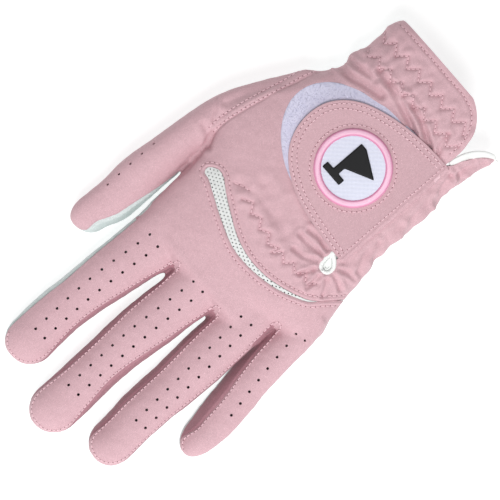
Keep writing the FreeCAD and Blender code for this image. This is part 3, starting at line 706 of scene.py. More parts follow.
def sculpt(skin):
    """Seams, gathers, quilting and folds, as moves along the normal."""
    p, n = skin.points, skin.normals()
    top = step_up(n[:, 2], 0.02, 0.35)
    move = 0.20 * ripple(p, 30, 1) + 0.12 * ripple(p, 11, 2) + 0.05 * ripple(p, 4, 3)

    # quilted zigzags: a narrow stitched valley, with leather puffed up between the rows
    for line in ZIGZAGS:
        d = distance(p, line, 8)
        move += top * (groove(d, 0.6, 0.5) + 0.42 * bell(d, 2.0, 1.4))
    move += top * groove(distance(p, ZIGZAG_END), 0.6, 0.4)
    gather = step_up(p[:, 1], -93, -90) * (1 - step_up(p[:, 1], -77, -72))
    move += top * gather * 0.36 * ripple(p, 5.5, 4, stretch=(0.8, 1.8, 1))
    knuckle = (1 - step_up(np.abs(p[:, 0] + 2), 18, 26)) * (1 - step_up(np.abs(p[:, 1] + 7), 4, 11))
    move += top * knuckle * 0.26 * ripple(p, 7, 5, stretch=(0.7, 1.7, 1))
    waist = (1 - step_up(np.abs(p[:, 1] + 68), 4, 12)) * step_up(p[:, 2], 3, 12)
    move += waist * 0.34 * ripple(p, 8, 6, stretch=(2.0, 0.7, 1.5))
    ulnar = (1 - step_up(p[:, 0], -31, -26)) * (1 - step_up(p[:, 1], -14, -4))
    move += ulnar * 0.42 * ripple(p, 9, 7, stretch=(1.4, 0.8, 1.6))

    # cuff hem: a flat turned edge below its stitch row
    d = distance(p, HEM)
    move += top * (groove(d, 0.55, 0.30) + 0.16 * bell(d, 1.4, 1.0))

    # leather turned under along the vent and stitched down
    d = np.abs(skin.fields["vent"])
    outside = skin.fields["vent"] < 0
    move += top * np.where(outside, groove(d - 1.8, 0.5, 0.20) + 0.22 * bell(d, 0.8, 0.7), 0)
    move += top * np.where(outside, groove(d, 0.35, 0.25), 0)

    # side seam: two stitched rows with a rolled ridge between them
    d = skin.fields["side_seam"]
    wrist = 1 - step_up(p[:, 1], -14, -8)
    ridge = 0.34 * bell(d, 1.6, 0.8) + groove(d, 0.4, 0.45)
    move += top * wrist * (ridge + groove(d - 0.6, 0.3, 0.1) + groove(d - 2.9, 0.45, 0.18))
    move += groove(np.abs(skin.fields["crease"]), 0.55, 0.5) * top
    fold = distance(p, THUMB_FOLD)
    move += top * groove(fold, 1.1, 0.7)

    # puckers that radiate from the eye
    eye = p[:, :2] - EYE_CENTRE
    reach, turn = np.hypot(eye[:, 0], eye[:, 1]), np.arctan2(eye[:, 1], eye[:, 0])
    fade = step_up(reach, 3.4, 5.5) * (1 - step_up(reach, 9, 19))
    move += top * fade * 0.22 * np.sin(13 * turn + 1.6 * np.sin(2 * turn))
    move += top * 0.5 * bell(reach, 4.6, 1.1)

    for line, width, depth in FOLDS:
        d = distance(p, line, 10)
        move += top * groove(d, width, 1.75 * depth)
        move += top * depth * bell(d, 2.1 * width, width)

    for name in FINGERS:
        move += seam_relief(name, p)
    move -= 0.55 * top * below_tab(p)
    skin.points = p + n * move[:, None]
    skin.points[:, 2] = np.maximum(skin.points[:, 2], 0.06)
    return skin


# Points, width and depth of each fold.
FOLDS = [(curve(points), width, depth) for points, width, depth in [
    ([(-16, -71), (-11, -73.5), (-4, -76), (6, -77)], 1.0, 0.75),
    ([(-7, -70.5), (0, -73), (10, -75.5), (19, -76)], 1.2, 0.8),
    ([(-19, -72.5), (-17, -76), (-16, -80)], 0.9, 0.45),
    ([(31, -66), (26, -66.5), (20, -68.5), (12, -70.5)], 1.3, 0.7),
    ([(31, -70.5), (25, -71.5), (18, -72.5)], 1.2, 0.5),
    ([(32, -74), (27, -74.6)], 1.0, 0.35),
    ([(-33.5, -20), (-30.5, -26), (-30, -33)], 1.1, 0.5),
    ([(-34, -28), (-31, -34), (-30.8, -44)], 1.2, 0.45),
    ([(-34, -44), (-31.4, -50), (-31, -60)], 1.2, 0.4),
    ([(-33, -60), (-30, -66), (-28.5, -71)], 1.0, 0.55),
    ([(-33.5, -70), (-30.6, -75), (-30, -81)], 0.9, 0.4),
    ([(-18.9, -16.4), (-14, -17.0), (-9, -16.4)], 0.9, 0.42),
    ([(-18.9, -13.8), (-14, -12.6), (-8, -12.4)], 0.9, 0.50),
    ([(-19.4, -11.0), (-15.5, -8.2), (-10.5, -7.0)], 0.8, 0.45),
    ([(-21.4, -7.6), (-20.0, -4.8), (-19.2, -2.2)], 0.7, 0.40),
    ([(-24.4, -7.4), (-24.9, -4), (-25.1, -1)], 0.7, 0.40),
    ([(-27.6, -8.6), (-29.6, -6.2), (-31.2, -3.4)], 0.7, 0.40),
    ([(-28.6, -12.0), (-31, -11.8), (-34, -10.4)], 0.8, 0.40),
    ([(-28.4, -15.0), (-31, -16.4), (-34, -17)], 0.8, 0.40),
    ([(49, -24), (46.5, -32), (43, -40)], 1.4, 0.35),
    ([(40.8, -8), (44, -11), (48, -12)], 1.2, 0.35),
    ([(-13, -7), (-4, -9.5), (6, -12.5), (15, -14.5)], 2.2, 0.30),
    ([(-12, -12), (-3, -14.5), (4, -17)], 1.8, 0.26),
    ([(2, -8.5), (12, -9.5), (22, -7.5)], 1.8, 0.25),
    ([(-29.5, -71), (-31, -77), (-33.4, -84)], 0.8, 0.45),
    ([(-28, -73.5), (-31.5, -73.5), (-34, -75)], 0.8, 0.40),
    ([(34, -60), (36.5, -52), (41, -43)], 1.6, 0.35),
]]


def seam_relief(name, p):
    """A stitched valley along each seam of a stall, with the leather rolled up beside it."""
    out = np.zeros(len(p))
    mine = in_stall(name, p) > -6
    q = p[mine]
    left, right, _, _ = profile(FINGERS[name]["rows"])(q[:, 1]).T
    radius, turn = (right - left) / 2, stall_angle(name, q)
    last = FINGERS[name]["rows"][-1][0]
    fade = step_up(in_stall(name, q), -3, 2) * (1 - step_up(q[:, 1], last + 4, last + 8))
    for seam in seam_turns(name, q[:, 1]):
        away = ((turn - seam + 180) % 360 - 180) * math.pi / 180 * radius
        out[mine] += fade * (groove(away, 0.42, 0.30) + 0.13 * bell(np.abs(away), 1.1, 0.6))
    return out


def in_stall(name, p):
    """Positive inside a stall's own region, ahead of its root line and between its forks."""
    x, y = p[:, 0], p[:, 1]
    ahead = y - ROOTS[name]
    if name == "thumb":
        return np.minimum(ahead, x - THUMB_FORK_X)
    if name == "index":
        own = np.minimum(ahead, x - along(FORKS["index"], y))
        return np.minimum(own, THUMB_FORK_X + 20 * step_up(y, 54, 60) - x)
    if name == "middle":
        own = np.minimum(ahead, x - along(FORKS["middle"], y))
        return np.minimum(own, along(FORKS["index"], y) - x)
    # the gap between the ring and little stalls leans with their walls
    edge = along(FORKS["ring"], y) - GAP_LEAN * (p[:, 2] - 8.0) * step_up(y, 19, 27)
    if name == "little":
        return np.minimum(ahead, edge - x)
    return np.minimum(np.minimum(ahead, x - edge), along(FORKS["middle"], y) - x)


# ================================================================ cutting the panels


def dressed_form():
    """The sculpted form, refined where it has detail, with the fields that the cuts need."""
    skin = Skin(*fused_form())
    holes = perforations()
    lines = ZIGZAGS + [HEM, ZIGZAG_END]
    for size in (0.55, 0.36):
        p = skin.points
        top = skin.normals()[:, 2] > -0.05
        close = np.zeros(len(p), bool)
        for line in lines:
            close |= distance(p, line, 3) < 1.3 * size / 0.55
        close |= np.abs(inside_near(p, VENT, 5)) < 2.4 * size / 0.55
        close |= np.abs(inside_near(p, EYE, 5)) < 1.6
        close &= top
        skin = refine(skin, close[skin.faces].any(1))
    for _ in range(2):
        p = skin.points
        near = near_holes(p, holes) < 1.1
        skin = refine(skin, near[skin.faces].any(1))
    p = skin.points
    skin.fields = {
        "flat": p.copy(),
        "vent": inside_near(p, VENT, 8),
        "side_seam": np.minimum(nearest(p, SIDE_SEAM)[0], p[:, 1] + 62.3),
        "crease": distance(p, THUMB_CREASE),
    }
    skin = sculpt(skin)
    skin.fields["normal"] = skin.normals()
    return skin


def inside_near(p, outline, margin):
    out = np.full(len(p), -FAR)
    close = near_box(p, outline, margin)
    out[close] = inside(p[close], outline)
    return out


def near_holes(p, holes):
    out = np.full(len(p), FAR)
    for hole in holes:
        close = (np.abs(p[:, 0] - hole[0]) < 3) & (np.abs(p[:, 1] - hole[1]) < 3) & (p[:, 2] > 7)
        q = p[close]
        reach = np.hypot(*(q[:, :2] - hole).T)
        core = reach < 0.5
        if core.any():
            height = q[core, 2].mean()
            out[close] = np.minimum(out[close], np.hypot(reach, q[:, 2] - height))
    return out


def hand_angle(p):
    left, right, high, low = HAND(p[:, 1]).T
    u = (p[:, 0] - (left + right) / 2) / ((right - left) / 2)
    w = (p[:, 2] - (high + low) / 2) / ((high - low) / 2)
    turn = np.degrees(np.arctan2(w, u))
    return np.where(turn < -90, turn + 360, turn)


def below_tab(p):
    """How far the form sinks where the closure lies on it: 1 well inside, 0 outside."""
    return step_up(inside_near(p, LOOP, 4), -0.4, 1.6)


# Y against the turn of the seam between back and palm on the thumb side of the hand.
RADIAL_SEAM = [
    (-101, -12), (-64, -12), (-55, -18), (-14, -18), (-6, 2), (0, 12), (10, 14), (20, 20), (34, 21),
]
ULNAR_SEAM = 203
GUSSET_Y, GUSSET_TURN = 18.2, 150  # where the gusset between the ring and little stalls begins
SLIT_X = TAB_ROOT_X + 0.9
FLAP_LINING = curve([
    (-24.1, -71.8), (-24.3, -76), (-25.5, -80.4), (-28.3, -85.1), (-32.2, -88.4), (-36.4, -90),
])
NOTCH = np.vstack([CORNER, [(-6, -106), (-46, -106), (-46, -88.0)], FLAP_EDGE[::-1] + (0.5, -0.2)])
BACK_NOTCH = np.vstack([CORNER, [(-6, -106), (-46, -106), (-46, -88.4)], FLAP_EDGE[::-1]])
SLIT = np.array([
    (SLIT_X - 0.9, -16), (SLIT_X + 0.9, -16), (SLIT_X + 0.9, -69), (SLIT_X + 0.2, -71.3),
    (SLIT_X + 0.2, -73), (SLIT_X - 0.2, -73), (SLIT_X - 0.2, -71.3), (SLIT_X - 0.9, -69),
])


def region(skin, field):
    return clip(skin, field(skin))


def flat(skin):
    return skin.fields["flat"]


def within(skin, outline):
    """Signed plan distance to an outline, on the form before it was sculpted."""
    return inside_near(flat(skin), outline, 12)


def cut_stalls(skin):
    """Takes each stall off the hand."""
    stalls, rest = {}, skin
    for name in FINGERS:
        field = in_stall(name, flat(rest))
        stalls[name], rest = clip(rest, field), clip(rest, -field)
    return rest, stalls


def stall_panels(name, skin):
    """The strips of one stall, by CAD node name."""
    strips = {"back": (1, 2), "palm": (3, 4)}
    if name in ("middle", "ring", "little"):
        strips["thumb_side_fourchette"] = (0, 1)
    if name in ("index", "middle", "ring"):
        strips["little_side_fourchette"] = (2, 3)
    turn = stall_angle(name, flat(skin))
    seams = list(seam_turns(name, flat(skin)[:, 1]))
    seams.append(seams[0] + 360)
    out = {}
    for strip, (a, b) in strips.items():
        out[f"{name}_{strip}"] = clip(skin, between_angles(turn, seams[a], seams[b]))
    back = out[f"{name}_back"]
    out[f"{name}_back"] = clip(back, near_holes(flat(back), perforations()) - HOLE_RADIUS)
    return out


def upper(skin):
    p = flat(skin)
    back = between_angles(hand_angle(p), along(RADIAL_SEAM, p[:, 1]), ULNAR_SEAM)
    seams = seam_turns("thumb", p[:, 1])
    thumb = between_angles(stall_angle("thumb", p), seams[0], seams[2])
    thumb = np.minimum(thumb, 4 * (p[:, 0] - 24))
    return np.where(p[:, 1] > -58, np.maximum(back, thumb), back)


def hand_panels(skin):
    """The leather of the hand, by CAD node name."""
    skin = region(skin, lambda s: flat(s)[:, 1] - CUFF_Y)
    top = region(skin, upper)
    below = region(skin, lambda s: -upper(s))
    below = region(below, lambda s: -within(s, NOTCH))
    gusset = lambda s: np.minimum(flat(s)[:, 1] - GUSSET_Y, hand_angle(flat(s)) - GUSSET_TURN)
    web, top = region(top, gusset), region(top, lambda s: -gusset(s))
    base = region(top, lambda s: s.fields["side_seam"])
    back = region(top, lambda s: -s.fields["side_seam"])
    for hole in (VENT, EYE, SLIT, BACK_NOTCH):
        back = region(back, lambda s: -within(s, hole))
    base = clip(base, near_holes(flat(base), perforations()) - HOLE_RADIUS)
    back = clip(back, near_holes(flat(back), perforations()) - HOLE_RADIUS)
    edge = [(-62, 26), (-45, 29), (-14, 32.8), (8, 33.4)]
    thumb_side = lambda s: np.minimum(flat(s)[:, 0] - along(edge, flat(s)[:, 1]), flat(s)[:, 1] + 62)
    return {
        "back_panel": back,
        "thumb_base_back": base,
        "little_finger_quirk": web,
        "thumb_base_palm": region(below, thumb_side),
        "palm_panel": region(below, lambda s: -thumb_side(s)),
    }


# ================================================================ trims that follow the form


def sunk(skin, depth):
    """The same skin, moved inwards."""
    return Skin(skin.points - unit(skin.fields["normal"]) * depth, skin.faces, **skin.fields)


def over_vent(skin, margin):
    return np.minimum(within(skin, VENT) + margin, skin.fields["normal"][:, 2])


def vent_mesh_skin(skin):
    """The knitted mesh under the vent, with its real holes."""
    mesh = region(skin, lambda s: over_vent(s, 1.3))
    mesh = region(mesh, lambda s: flat(s)[:, 0] + 38)
    for _ in range(2):
        close = np.abs(lattice(flat(mesh)) - MESH_HOLE) < 0.4
        edge = mesh.points[mesh.faces[:, 0]] - mesh.points[mesh.faces[:, 1]]
        long_edge = np.linalg.norm(edge, axis=1) > 0.16
        mesh = refine(mesh, close[mesh.faces].any(1) & long_edge)
    mesh = region(mesh, lambda s: np.where(
        within(s, VENT) > -0.6, lattice(flat(s)) - MESH_HOLE, 1.0))
    return sunk(mesh, 0.12 + 0.83 * step_up(-within(mesh, VENT), -0.25, 0.03)[:, None])


MESH_PITCH, MESH_HOLE = 1.55, 0.27


def lattice(p):
    """Distance to the nearest hole of a staggered pattern that leans with the vent."""
    lean = math.radians(-24)
    u = (p[:, 0] * math.cos(lean) + p[:, 1] * math.sin(lean)) / MESH_PITCH
    v = (-p[:, 0] * math.sin(lean) + p[:, 1] * math.cos(lean)) / (MESH_PITCH * 0.8)
    out = np.full(len(p), 9.0)
    row = np.round(v)
    for dv in (-1, 0, 1):
        r = row + dv
        shift = 0.5 * (r % 2)
        c = np.round(u - shift) + shift
        for du in (-1, 0, 1):
            gap = np.hypot((u - c - du) * MESH_PITCH, (v - r) * MESH_PITCH * 0.8)
            out = np.minimum(out, gap)
    return out


def band(skin, y, width, low, high, depth):
    """An elastic band inside the back of the glove, ribbed across its width."""
    strip = region(skin, lambda s: width / 2 - np.abs(flat(s)[:, 1] - y))
    strip = region(strip, lambda s: between_angles(hand_angle(flat(s)), low, high))
    strip = region(strip, lambda s: -within(s, BACK_NOTCH) - 1.0)
    return sunk(strip, depth)


def crown(x, y):
    """Height of the smooth back of the hand, before it is sculpted."""
    left, right, high, low = np.moveaxis(HAND(y), -1, 0)
    u = np.clip(np.abs((x - (left + right) / 2) / ((right - left) / 2)), 0, 0.995)
    return (low + high) / 2 + (high - low) / 2 * (1 - u**HAND_POWER) ** (1 / HAND_POWER)


def patch(outline, step, top, rounds=2):
    """A sheet cut to an outline in plan and raised to top(x, y, distance from the edge)."""
    low, high = outline.min(0) - step, outline.max(0) + step
    gx, gy = np.meshgrid(np.arange(low[0], high[0] + step, step), np.arange(low[1], high[1] + step, step),
                         indexing="ij")
    k = np.arange(gx.size).reshape(gx.shape)
    faces = halves(k[:-1, :-1], k[1:, :-1], k[1:, 1:], k[:-1, 1:])
    skin = Skin(np.column_stack([gx.ravel(), gy.ravel(), np.zeros(gx.size)]), faces)
    for _ in range(rounds):
        edge = inside(skin.points, outline)
        skin = refine(skin, (np.abs(edge) < 0.9)[skin.faces].any(1))
    skin = clip(skin, inside(skin.points, outline))
    skin.fields["edge"] = inside(skin.points, outline)
    x, y = skin.points[:, 0], skin.points[:, 1]
    skin.points[:, 2] = top(x, y, np.maximum(skin.fields["edge"], 0))
    skin.fields["normal"] = skin.normals()
    return skin


def rolled(d, radius, drop=None):
    """How far a rolled edge lies below the top, by distance from the edge."""
    t = np.clip(1 - d / radius, 0, 1)
    return -(drop or radius) * (1 - np.sqrt(np.maximum(1 - t**2, 0)))


TAB = curve([
    (TAB_ROOT_X - 1.2, -17.5), (-20, -17.6), (-15, -18), (-5, -19.1), (5, -21.3), (10, -23.4),
    (15, -26.3), (20, -30.9), (23.4, -37), (24.9, -45), (23.9, -52), (20.2, -58.4), (15, -62.9),
    (5, -67.4), (-5, -70), (-15, -71.4), (-20, -71.8), (TAB_ROOT_X - 1.2, -72),
], step=0.4)
LOOP = curve([
    (-13, -23), (0, -22), (10, -23.2), (15, -24.9), (22, -28.8), (27, -32.9), (31, -38), (33.4, -43.6),
    (33.9, -48), (33, -53), (30, -58), (25, -62.4), (18, -66), (10, -68.5), (0, -69.9), (-10, -70.8),
    (-14, -70), (-14, -46), (-14, -25),
], step=0.4, closed=True)


def ring_line(x, y, radius, count=240):
    turn = np.linspace(0, 2 * math.pi, count, endpoint=False)
    return np.column_stack([x + radius * np.cos(turn), y + radius * np.sin(turn)])


def chord_disc(x, y, radius, left):
    """A round outline cut off by an upright line on its left."""
    disc = ring_line(x, y, radius)
    disc[:, 0] = np.maximum(disc[:, 0], left)
    return disc


HOOK = chord_disc(3.0, -45.2, 18.5, -8)


def tab_rise(x):
    return step_up(x, TAB_ROOT_X - 1, TAB_ROOT_X + 15)


def tab_base(x, y):
    """Top of the tab before its stitch rows. It leaves the hand near its root, then lies on the pile."""
    return crown(x, y) + 1.1 + 1.35 * tab_rise(x)


def tab_top(x, y, d):
    p = np.column_stack([x, y, np.zeros_like(x)])
    z = tab_base(x, y) + rolled(d, 0.9, 0.7)
    free = step_up(x, TAB_ROOT_X - 1, TAB_ROOT_X + 2.5)
    rim = np.where(x < TAB_ROOT_X + 3, 6.0, d)
    for row in TAB_ROWS:
        z += free * groove(rim - row, 0.38, 0.24)
    z += free * 0.13 * bell(rim, 2.3, 0.5)
    z += groove(x - (TAB_ROOT_X + 0.1), 0.5, 0.35)
    z += 0.10 * ripple(p, 12, 21) + 0.05 * ripple(p, 4.5, 22)
    badge = np.hypot(x - BADGE_X, y - BADGE_Y)
    return z + groove(badge - BADGE_ROW, 0.4, 0.2) + 0.12 * bell(badge, 17.8, 0.7)


def loop_top(x, y, d):
    p = np.column_stack([x, y, np.zeros_like(x)])
    return crown(x, y) + 0.42 + rolled(d, 0.7) + 0.07 * ripple(p, 5, 31) + 0.04 * ripple(p, 1.2, 32)


def badge_base(x, y):
    return tab_base(x, y) + 0.12


def tab_skins():
    """Leather, lining and hook patch of the tab, and the loop patch on the hand."""
    inset = resample(TAB, 1.0)
    lining = np.array([q + 0.55 * (BADGE - q) / np.linalg.norm(q - BADGE) for q in inset])
    lining[:, 0] = np.maximum(lining[:, 0], TAB_ROOT_X + 0.4)
    return {
        "tab_leather": patch(TAB, 0.42, tab_top),
        "tab_lining": patch(lining, 0.8, lambda x, y, d: tab_base(x, y) - 1.12 + 0 * d, 0),
        "hook_patch": patch(HOOK, 0.8, lambda x, y, d: tab_base(x, y) - 1.48 + 0 * d, 0),
        "loop_patch": patch(LOOP, 0.55, loop_top),
    }


# ================================================================ badge


def badge_disc_skin():
    disc = ring_line(BADGE_X, BADGE_Y, 12.9)
    return patch(disc, 0.5, lambda x, y, d: badge_base(x, y) + 0.45 + 0 * d, 0)


def badge_border_skin():
    """The overlocked border: a half-round ring of packed satin threads that lean a little."""
    around, across, threads = 1680, 15, 210
    turn = np.linspace(0, 2 * math.pi, around, endpoint=False)[:, None]
    t = np.linspace(-1, 1, across)[None, :]
    radius = 13.7 + 1.42 * np.sin(t * math.pi / 2)
    lean = turn + 0.02 * t
    wave = np.abs(np.sin(lean * threads / 2)) ** 0.8
    sway = 0.05 * np.sin(lean * 37 + 1.3) + 0.04 * np.sin(lean * 83)
    height = 1.25 * np.cos(t * math.pi / 2) ** 0.75
    radius = radius + (0.05 + 0.05 * wave) * np.sin(t * math.pi / 2) + sway * 0.4
    x, y = BADGE_X + radius * np.cos(turn), BADGE_Y + radius * np.sin(turn)
    z = badge_base(x, y) - 0.12 + height * (0.92 + 0.09 * wave)
    points = np.column_stack([x.ravel(), y.ravel(), z.ravel()])
    k = np.arange(around * across).reshape(around, across)
    a, b = k[:, :-1], k[:, 1:]
    skin = Skin(points, halves(a, b, np.roll(b, -1, axis=0), np.roll(a, -1, axis=0)))
    skin.fields["normal"] = skin.normals()
    return skin


def emblem_outline():
    """A plain pin flag, read from the fingers' side: a pole on a base bar, with a triangular pennant."""
    tall, bar, pole, left = 17.0, 2.8, 3.0, -5.0
    right, centre = left + pole, left + pole / 2
    corners = [
        (centre - 4.8, 0), (centre + 4.8, 0), (centre + 4.8, bar), (right, bar), (right, 5.8),
        (right + 10.8, 11.4), (right, tall), (left, tall), (left, bar), (centre - 4.8, bar),
    ]
    loop = np.array([(BADGE_X - x, BADGE_Y + tall / 2 - y) for x, y in corners])
    return rounded(loop, 0.45)


def rounded(loop, radius):
    """A closed outline with its corners rounded off."""
    out = []
    for k in range(len(loop)):
        before, at, after = loop[k - 1], loop[k], loop[(k + 1) % len(loop)]
        a = at + (before - at) / np.linalg.norm(before - at) * radius
        b = at + (after - at) / np.linalg.norm(after - at) * radius
        for t in np.linspace(0, 1, 5):
            out.append((1 - t) ** 2 * a + 2 * t * (1 - t) * at + t * t * b)
    return resample(np.vstack([out, out[:1]]), 0.12)[:-1]


def emblem_skin():
    def top(x, y, d):
        ridges = 0.05 * np.abs(np.sin((x * 0.9 + y * 0.35) * 2 * math.pi / 0.42))
        return badge_base(x, y) + 0.5 + 0.55 + rolled(d, 0.55, 0.5) + ridges * step_up(d, 0.1, 0.5)

    return patch(emblem_outline(), 0.16, top, 0)


# ================================================================ threads


class Ground:
    """Where a point in plan meets a surface from above, and which way the surface faces there."""

    def __init__(self, skin):
        self.tree = BVHTree.FromPolygons(skin.points.tolist(), skin.faces.tolist())

    def at(self, line):
        spots, normals = [], []
        for x, y in line:
            hit, normal, _, _ = self.tree.ray_cast(Vector((x, y, 80)), Vector((0, 0, -1)))
            if hit is None:
                hit, normal = Vector((x, y, np.nan)), Vector((0, 0, 1))
            spots.append(tuple(hit))
            normals.append(tuple(normal))
        return np.array(spots), np.array(normals)


def tubes(paths, radius, side, sides=6):
    """Closed round threads along many paths of equal length. radius is per step, side a normal per path."""
    count, steps, _ = paths.shape
    ahead = unit(np.gradient(paths, axis=1))
    up = unit(side[:, None, :] - (side[:, None, :] * ahead).sum(2, keepdims=True) * ahead)
    across = np.cross(ahead, up)
    turn = np.linspace(0, 2 * math.pi, sides, endpoint=False)
    ring = np.cos(turn)[:, None] * across[:, :, None, :] + np.sin(turn)[:, None] * up[:, :, None, :]
    points = paths[:, :, None, :] + ring * np.asarray(radius)[None, :, None, None]
    k = np.arange(count * steps * sides).reshape(count, steps, sides)
    beside = np.roll(k, -1, axis=2)
    faces = [halves(k[:, :-1], beside[:, :-1], beside[:, 1:], k[:, 1:])]
    for end, flip in ((0, 1), (steps - 1, -1)):
        ring_k = k[:, end, :]
        for j in range(1, sides - 1):
            faces.append(np.column_stack([ring_k[:, 0], ring_k[:, j], ring_k[:, j + 1]])[:, ::-flip])
    return points.reshape(-1, 3), np.vstack(faces)


def merge(parts):
    points, faces, base = [], [], 0
    for p, f in parts:
        points.append(p)
        faces.append(f + base)
        base += len(p)
    return np.vstack(points), np.vstack(faces)


def stitch_spots(lines, ground, pitch):
    """The needle holes of each row, with their normals, as pairs of neighbours."""
    firsts, seconds, normals = [], [], []
    for line in lines:
        spots, n = ground.at(resample(line, pitch))
        good = ~np.isnan(spots[:, 2])
        both = good[:-1] & good[1:]
        firsts.append(spots[:-1][both])
        seconds.append(spots[1:][both])
        normals.append(((n[:-1] + n[1:]) / 2)[both])
    return np.vstack(firsts), np.vstack(seconds), np.vstack(normals)


STITCH, THREAD_RADIUS, NEEDLE_HOLE = 1.9, 0.2, 0.27


def stitches(lines, ground, pitch=STITCH, radius=THREAD_RADIUS, bite=0.16):
    """Threads that dive into the leather at each needle hole, and dark funnels at the holes: painted shade
    in the holes.
    """
    a, b, n = stitch_spots(lines, ground, pitch)
    n /= np.linalg.norm(n, axis=1, keepdims=True)
    t = np.linspace(0.1, 0.9, 7)
    arch = np.sin(np.linspace(0, math.pi, 7))
    lift = 0.02 + 0.15 * arch**0.6 - bite * (1 - arch)
    path = a[:, None] * (1 - t)[None, :, None] + b[:, None] * t[None, :, None]
    path = path + n[:, None] * lift[None, :, None]
    thin = radius * np.array([0.7, 0.95, 1, 1, 1, 0.95, 0.7])
    return tubes(path, thin, n), holes_at(np.vstack([a, b[-1:]]), np.vstack([n, n[-1:]]), NEEDLE_HOLE)


def holes_at(spots, normals, radius, sides=9):
    """Small dark funnels at needle holes: painted shade in the holes."""
    turn = np.linspace(0, 2 * math.pi, sides, endpoint=False)
    helper = np.where(np.abs(normals[:, :1]) < 0.8, np.array([[1.0, 0, 0]]), np.array([[0, 1.0, 0]]))
    u = np.cross(normals, helper)
    u /= np.linalg.norm(u, axis=1, keepdims=True)
    v = np.cross(normals, u)
    around = np.cos(turn)[:, None] * u[:, None] + np.sin(turn)[:, None] * v[:, None]
    rim = spots[:, None] + radius * around
    rim = rim + 0.035 * normals[:, None]
    middle = (spots + 0.06 * normals)[:, None]
    points = np.concatenate([rim, middle], axis=1)
    base = np.arange(len(spots))[:, None] * (sides + 1)
    j = np.arange(sides)[None, :]
    faces = np.stack([base + j, base + (j + 1) % sides, base + sides + 0 * j], -1).reshape(-1, 3)
    return points.reshape(-1, 3), faces


def offset_line(line, gap):
    """A line beside another, gap to its left."""
    ahead = np.gradient(line, axis=0)
    ahead /= np.linalg.norm(ahead, axis=1, keepdims=True)
    return line + gap * np.column_stack([-ahead[:, 1], ahead[:, 0]])


def inset_loop(outline, gap):
    """A closed outline moved inwards by gap, to its left if it runs anticlockwise."""
    ahead = unit(np.roll(outline, -1, axis=0) - np.roll(outline, 1, axis=0))
    x, y = outline.T
    area = 0.5 * (x * np.roll(y, -1) - np.roll(x, -1) * y).sum()
    return outline + math.copysign(1, area) * gap * np.column_stack([-ahead[:, 1], ahead[:, 0]])


def tip_seam(name, seam, inward):
    """A seam of a stall round its tip, in plan."""
    spec = FINGERS[name]
    last, (tip_x, tip_y) = spec["rows"][-1][0], spec["tip"]
    left, right, _, _ = profile(spec["rows"])(float(last)).T
    arc = np.radians(np.linspace(6, 80, 12))
    y = last + (tip_y - last - 1.2) * np.sin(arc)
    turn = np.radians(seam_turns(name, y)[seam])
    half, lean = (right - left) / 2 * np.cos(arc) ** 0.9, spec["lean"] * np.cos(arc)
    middle = (left + right) / 2 + (1 - np.cos(arc)) * (tip_x - (left + right) / 2)
    x = middle + np.sqrt(np.maximum(half**2 - lean**2, 0.01)) * np.cos(turn) - lean * np.sin(turn)
    return np.column_stack([x + inward * np.cos(arc) ** 0.5, y])


def stall_row(name):
    """The topstitch of a stall's back panel, up its seams and round its tip."""
    y = np.arange(ROOTS[name] + 0.6, FINGERS[name]["rows"][-1][0], 2.0)
    little_side = np.vstack([np.column_stack([seam_x(name, 2, y) + 0.75, y]), tip_seam(name, 2, 0.85)])
    thumb_side = np.vstack([np.column_stack([seam_x(name, 1, y) - 0.75, y]), tip_seam(name, 1, -0.85)])
    if name == "little":
        return [resample(thumb_side, 0.3)]
    if name == "index":
        return [resample(np.vstack([little_side, thumb_side[::-1][:8]]), 0.3)]
    return [resample(np.vstack([little_side, thumb_side[::-1]]), 0.3)]


def hand_rows():
    """Stitch rows sewn through the hand: vent, gathers, hem and side seam."""
    vent = inset_loop(resample(VENT, 0.5), -1.75)
    vent = vent[vent[:, 0] > -37.5]
    start = int(np.argmax(np.linalg.norm(np.diff(vent, axis=0), axis=1)))
    vent_rows = [vent[: start + 1], vent[start + 1 :]]
    rows = [r for r in vent_rows if len(r) > 4]
    side = SIDE_SEAM[(SIDE_SEAM[:, 1] < -13) & (SIDE_SEAM[:, 1] > -61)]
    rows += [offset_line(side, 0.55), offset_line(side, 2.9)]
    rows += [HEM, ZIGZAG_END]
    return rows


def fork_rows():
    """Short curved rows round the forks between the fingers."""
    return [
        curve([(16.0, 33.4), (15.4, 30.4), (14.3, 28.9), (13.1, 30.2), (12.7, 33)]),
        curve([(-7.0, 33.4), (-7.4, 30.2), (-8.6, 28.7), (-10.0, 30), (-10.6, 33)]),
        curve([(-26.7, 19), (-27.3, 16.6), (-28.6, 15.4), (-30.2, 16.4), (-30.8, 19)]),
        curve([(-26.9, 19), (-27.2, 24), (-27.4, 30)]),
    ]


def tufts(outline, count, seed, base, height, width, radius):
    """Tiny loops of pile standing on a patch."""
    rng = np.random.default_rng(seed)
    low, high = outline.min(0), outline.max(0)
    spots = rng.uniform(low, high, (int(count * 1.6), 2))
    spots = spots[inside(spots, outline) > 0.25][:count]
    heading = rng.uniform(0, 2 * math.pi, len(spots))
    side = np.column_stack([np.cos(heading), np.sin(heading)])
    t = np.linspace(-1, 1, 5)
    tall = height * rng.uniform(0.6, 1.2, len(spots))
    lean = rng.normal(0, 0.25, (len(spots), 2))
    xy = spots[:, None] + side[:, None] * (t * width)[None, :, None]
    arch = (1 - t**2)[None, :] * tall[:, None]
    xy = xy + lean[:, None] * arch[:, :, None]
    z = base(spots[:, 0], spots[:, 1])[:, None] + arch - 0.05
    across = np.column_stack([-side[:, 1], side[:, 0], np.zeros(len(spots))])
    return tubes(np.dstack([xy, z]), np.full(5, radius), across, sides=3)


# ================================================================ materials


def material(name):
    made = bpy.data.materials.new(name)
    made.use_nodes = True
    nodes, links = made.node_tree.nodes, made.node_tree.links
    shader = nodes["Principled BSDF"]
    return made, nodes, links, shader


def surface(shader, roughness, specular, sheen=0.0):
    shader.inputs["Roughness"].default_value = roughness
    shader.inputs["Specular IOR Level"].default_value = specular
    shader.inputs["Sheen Weight"].default_value = sheen


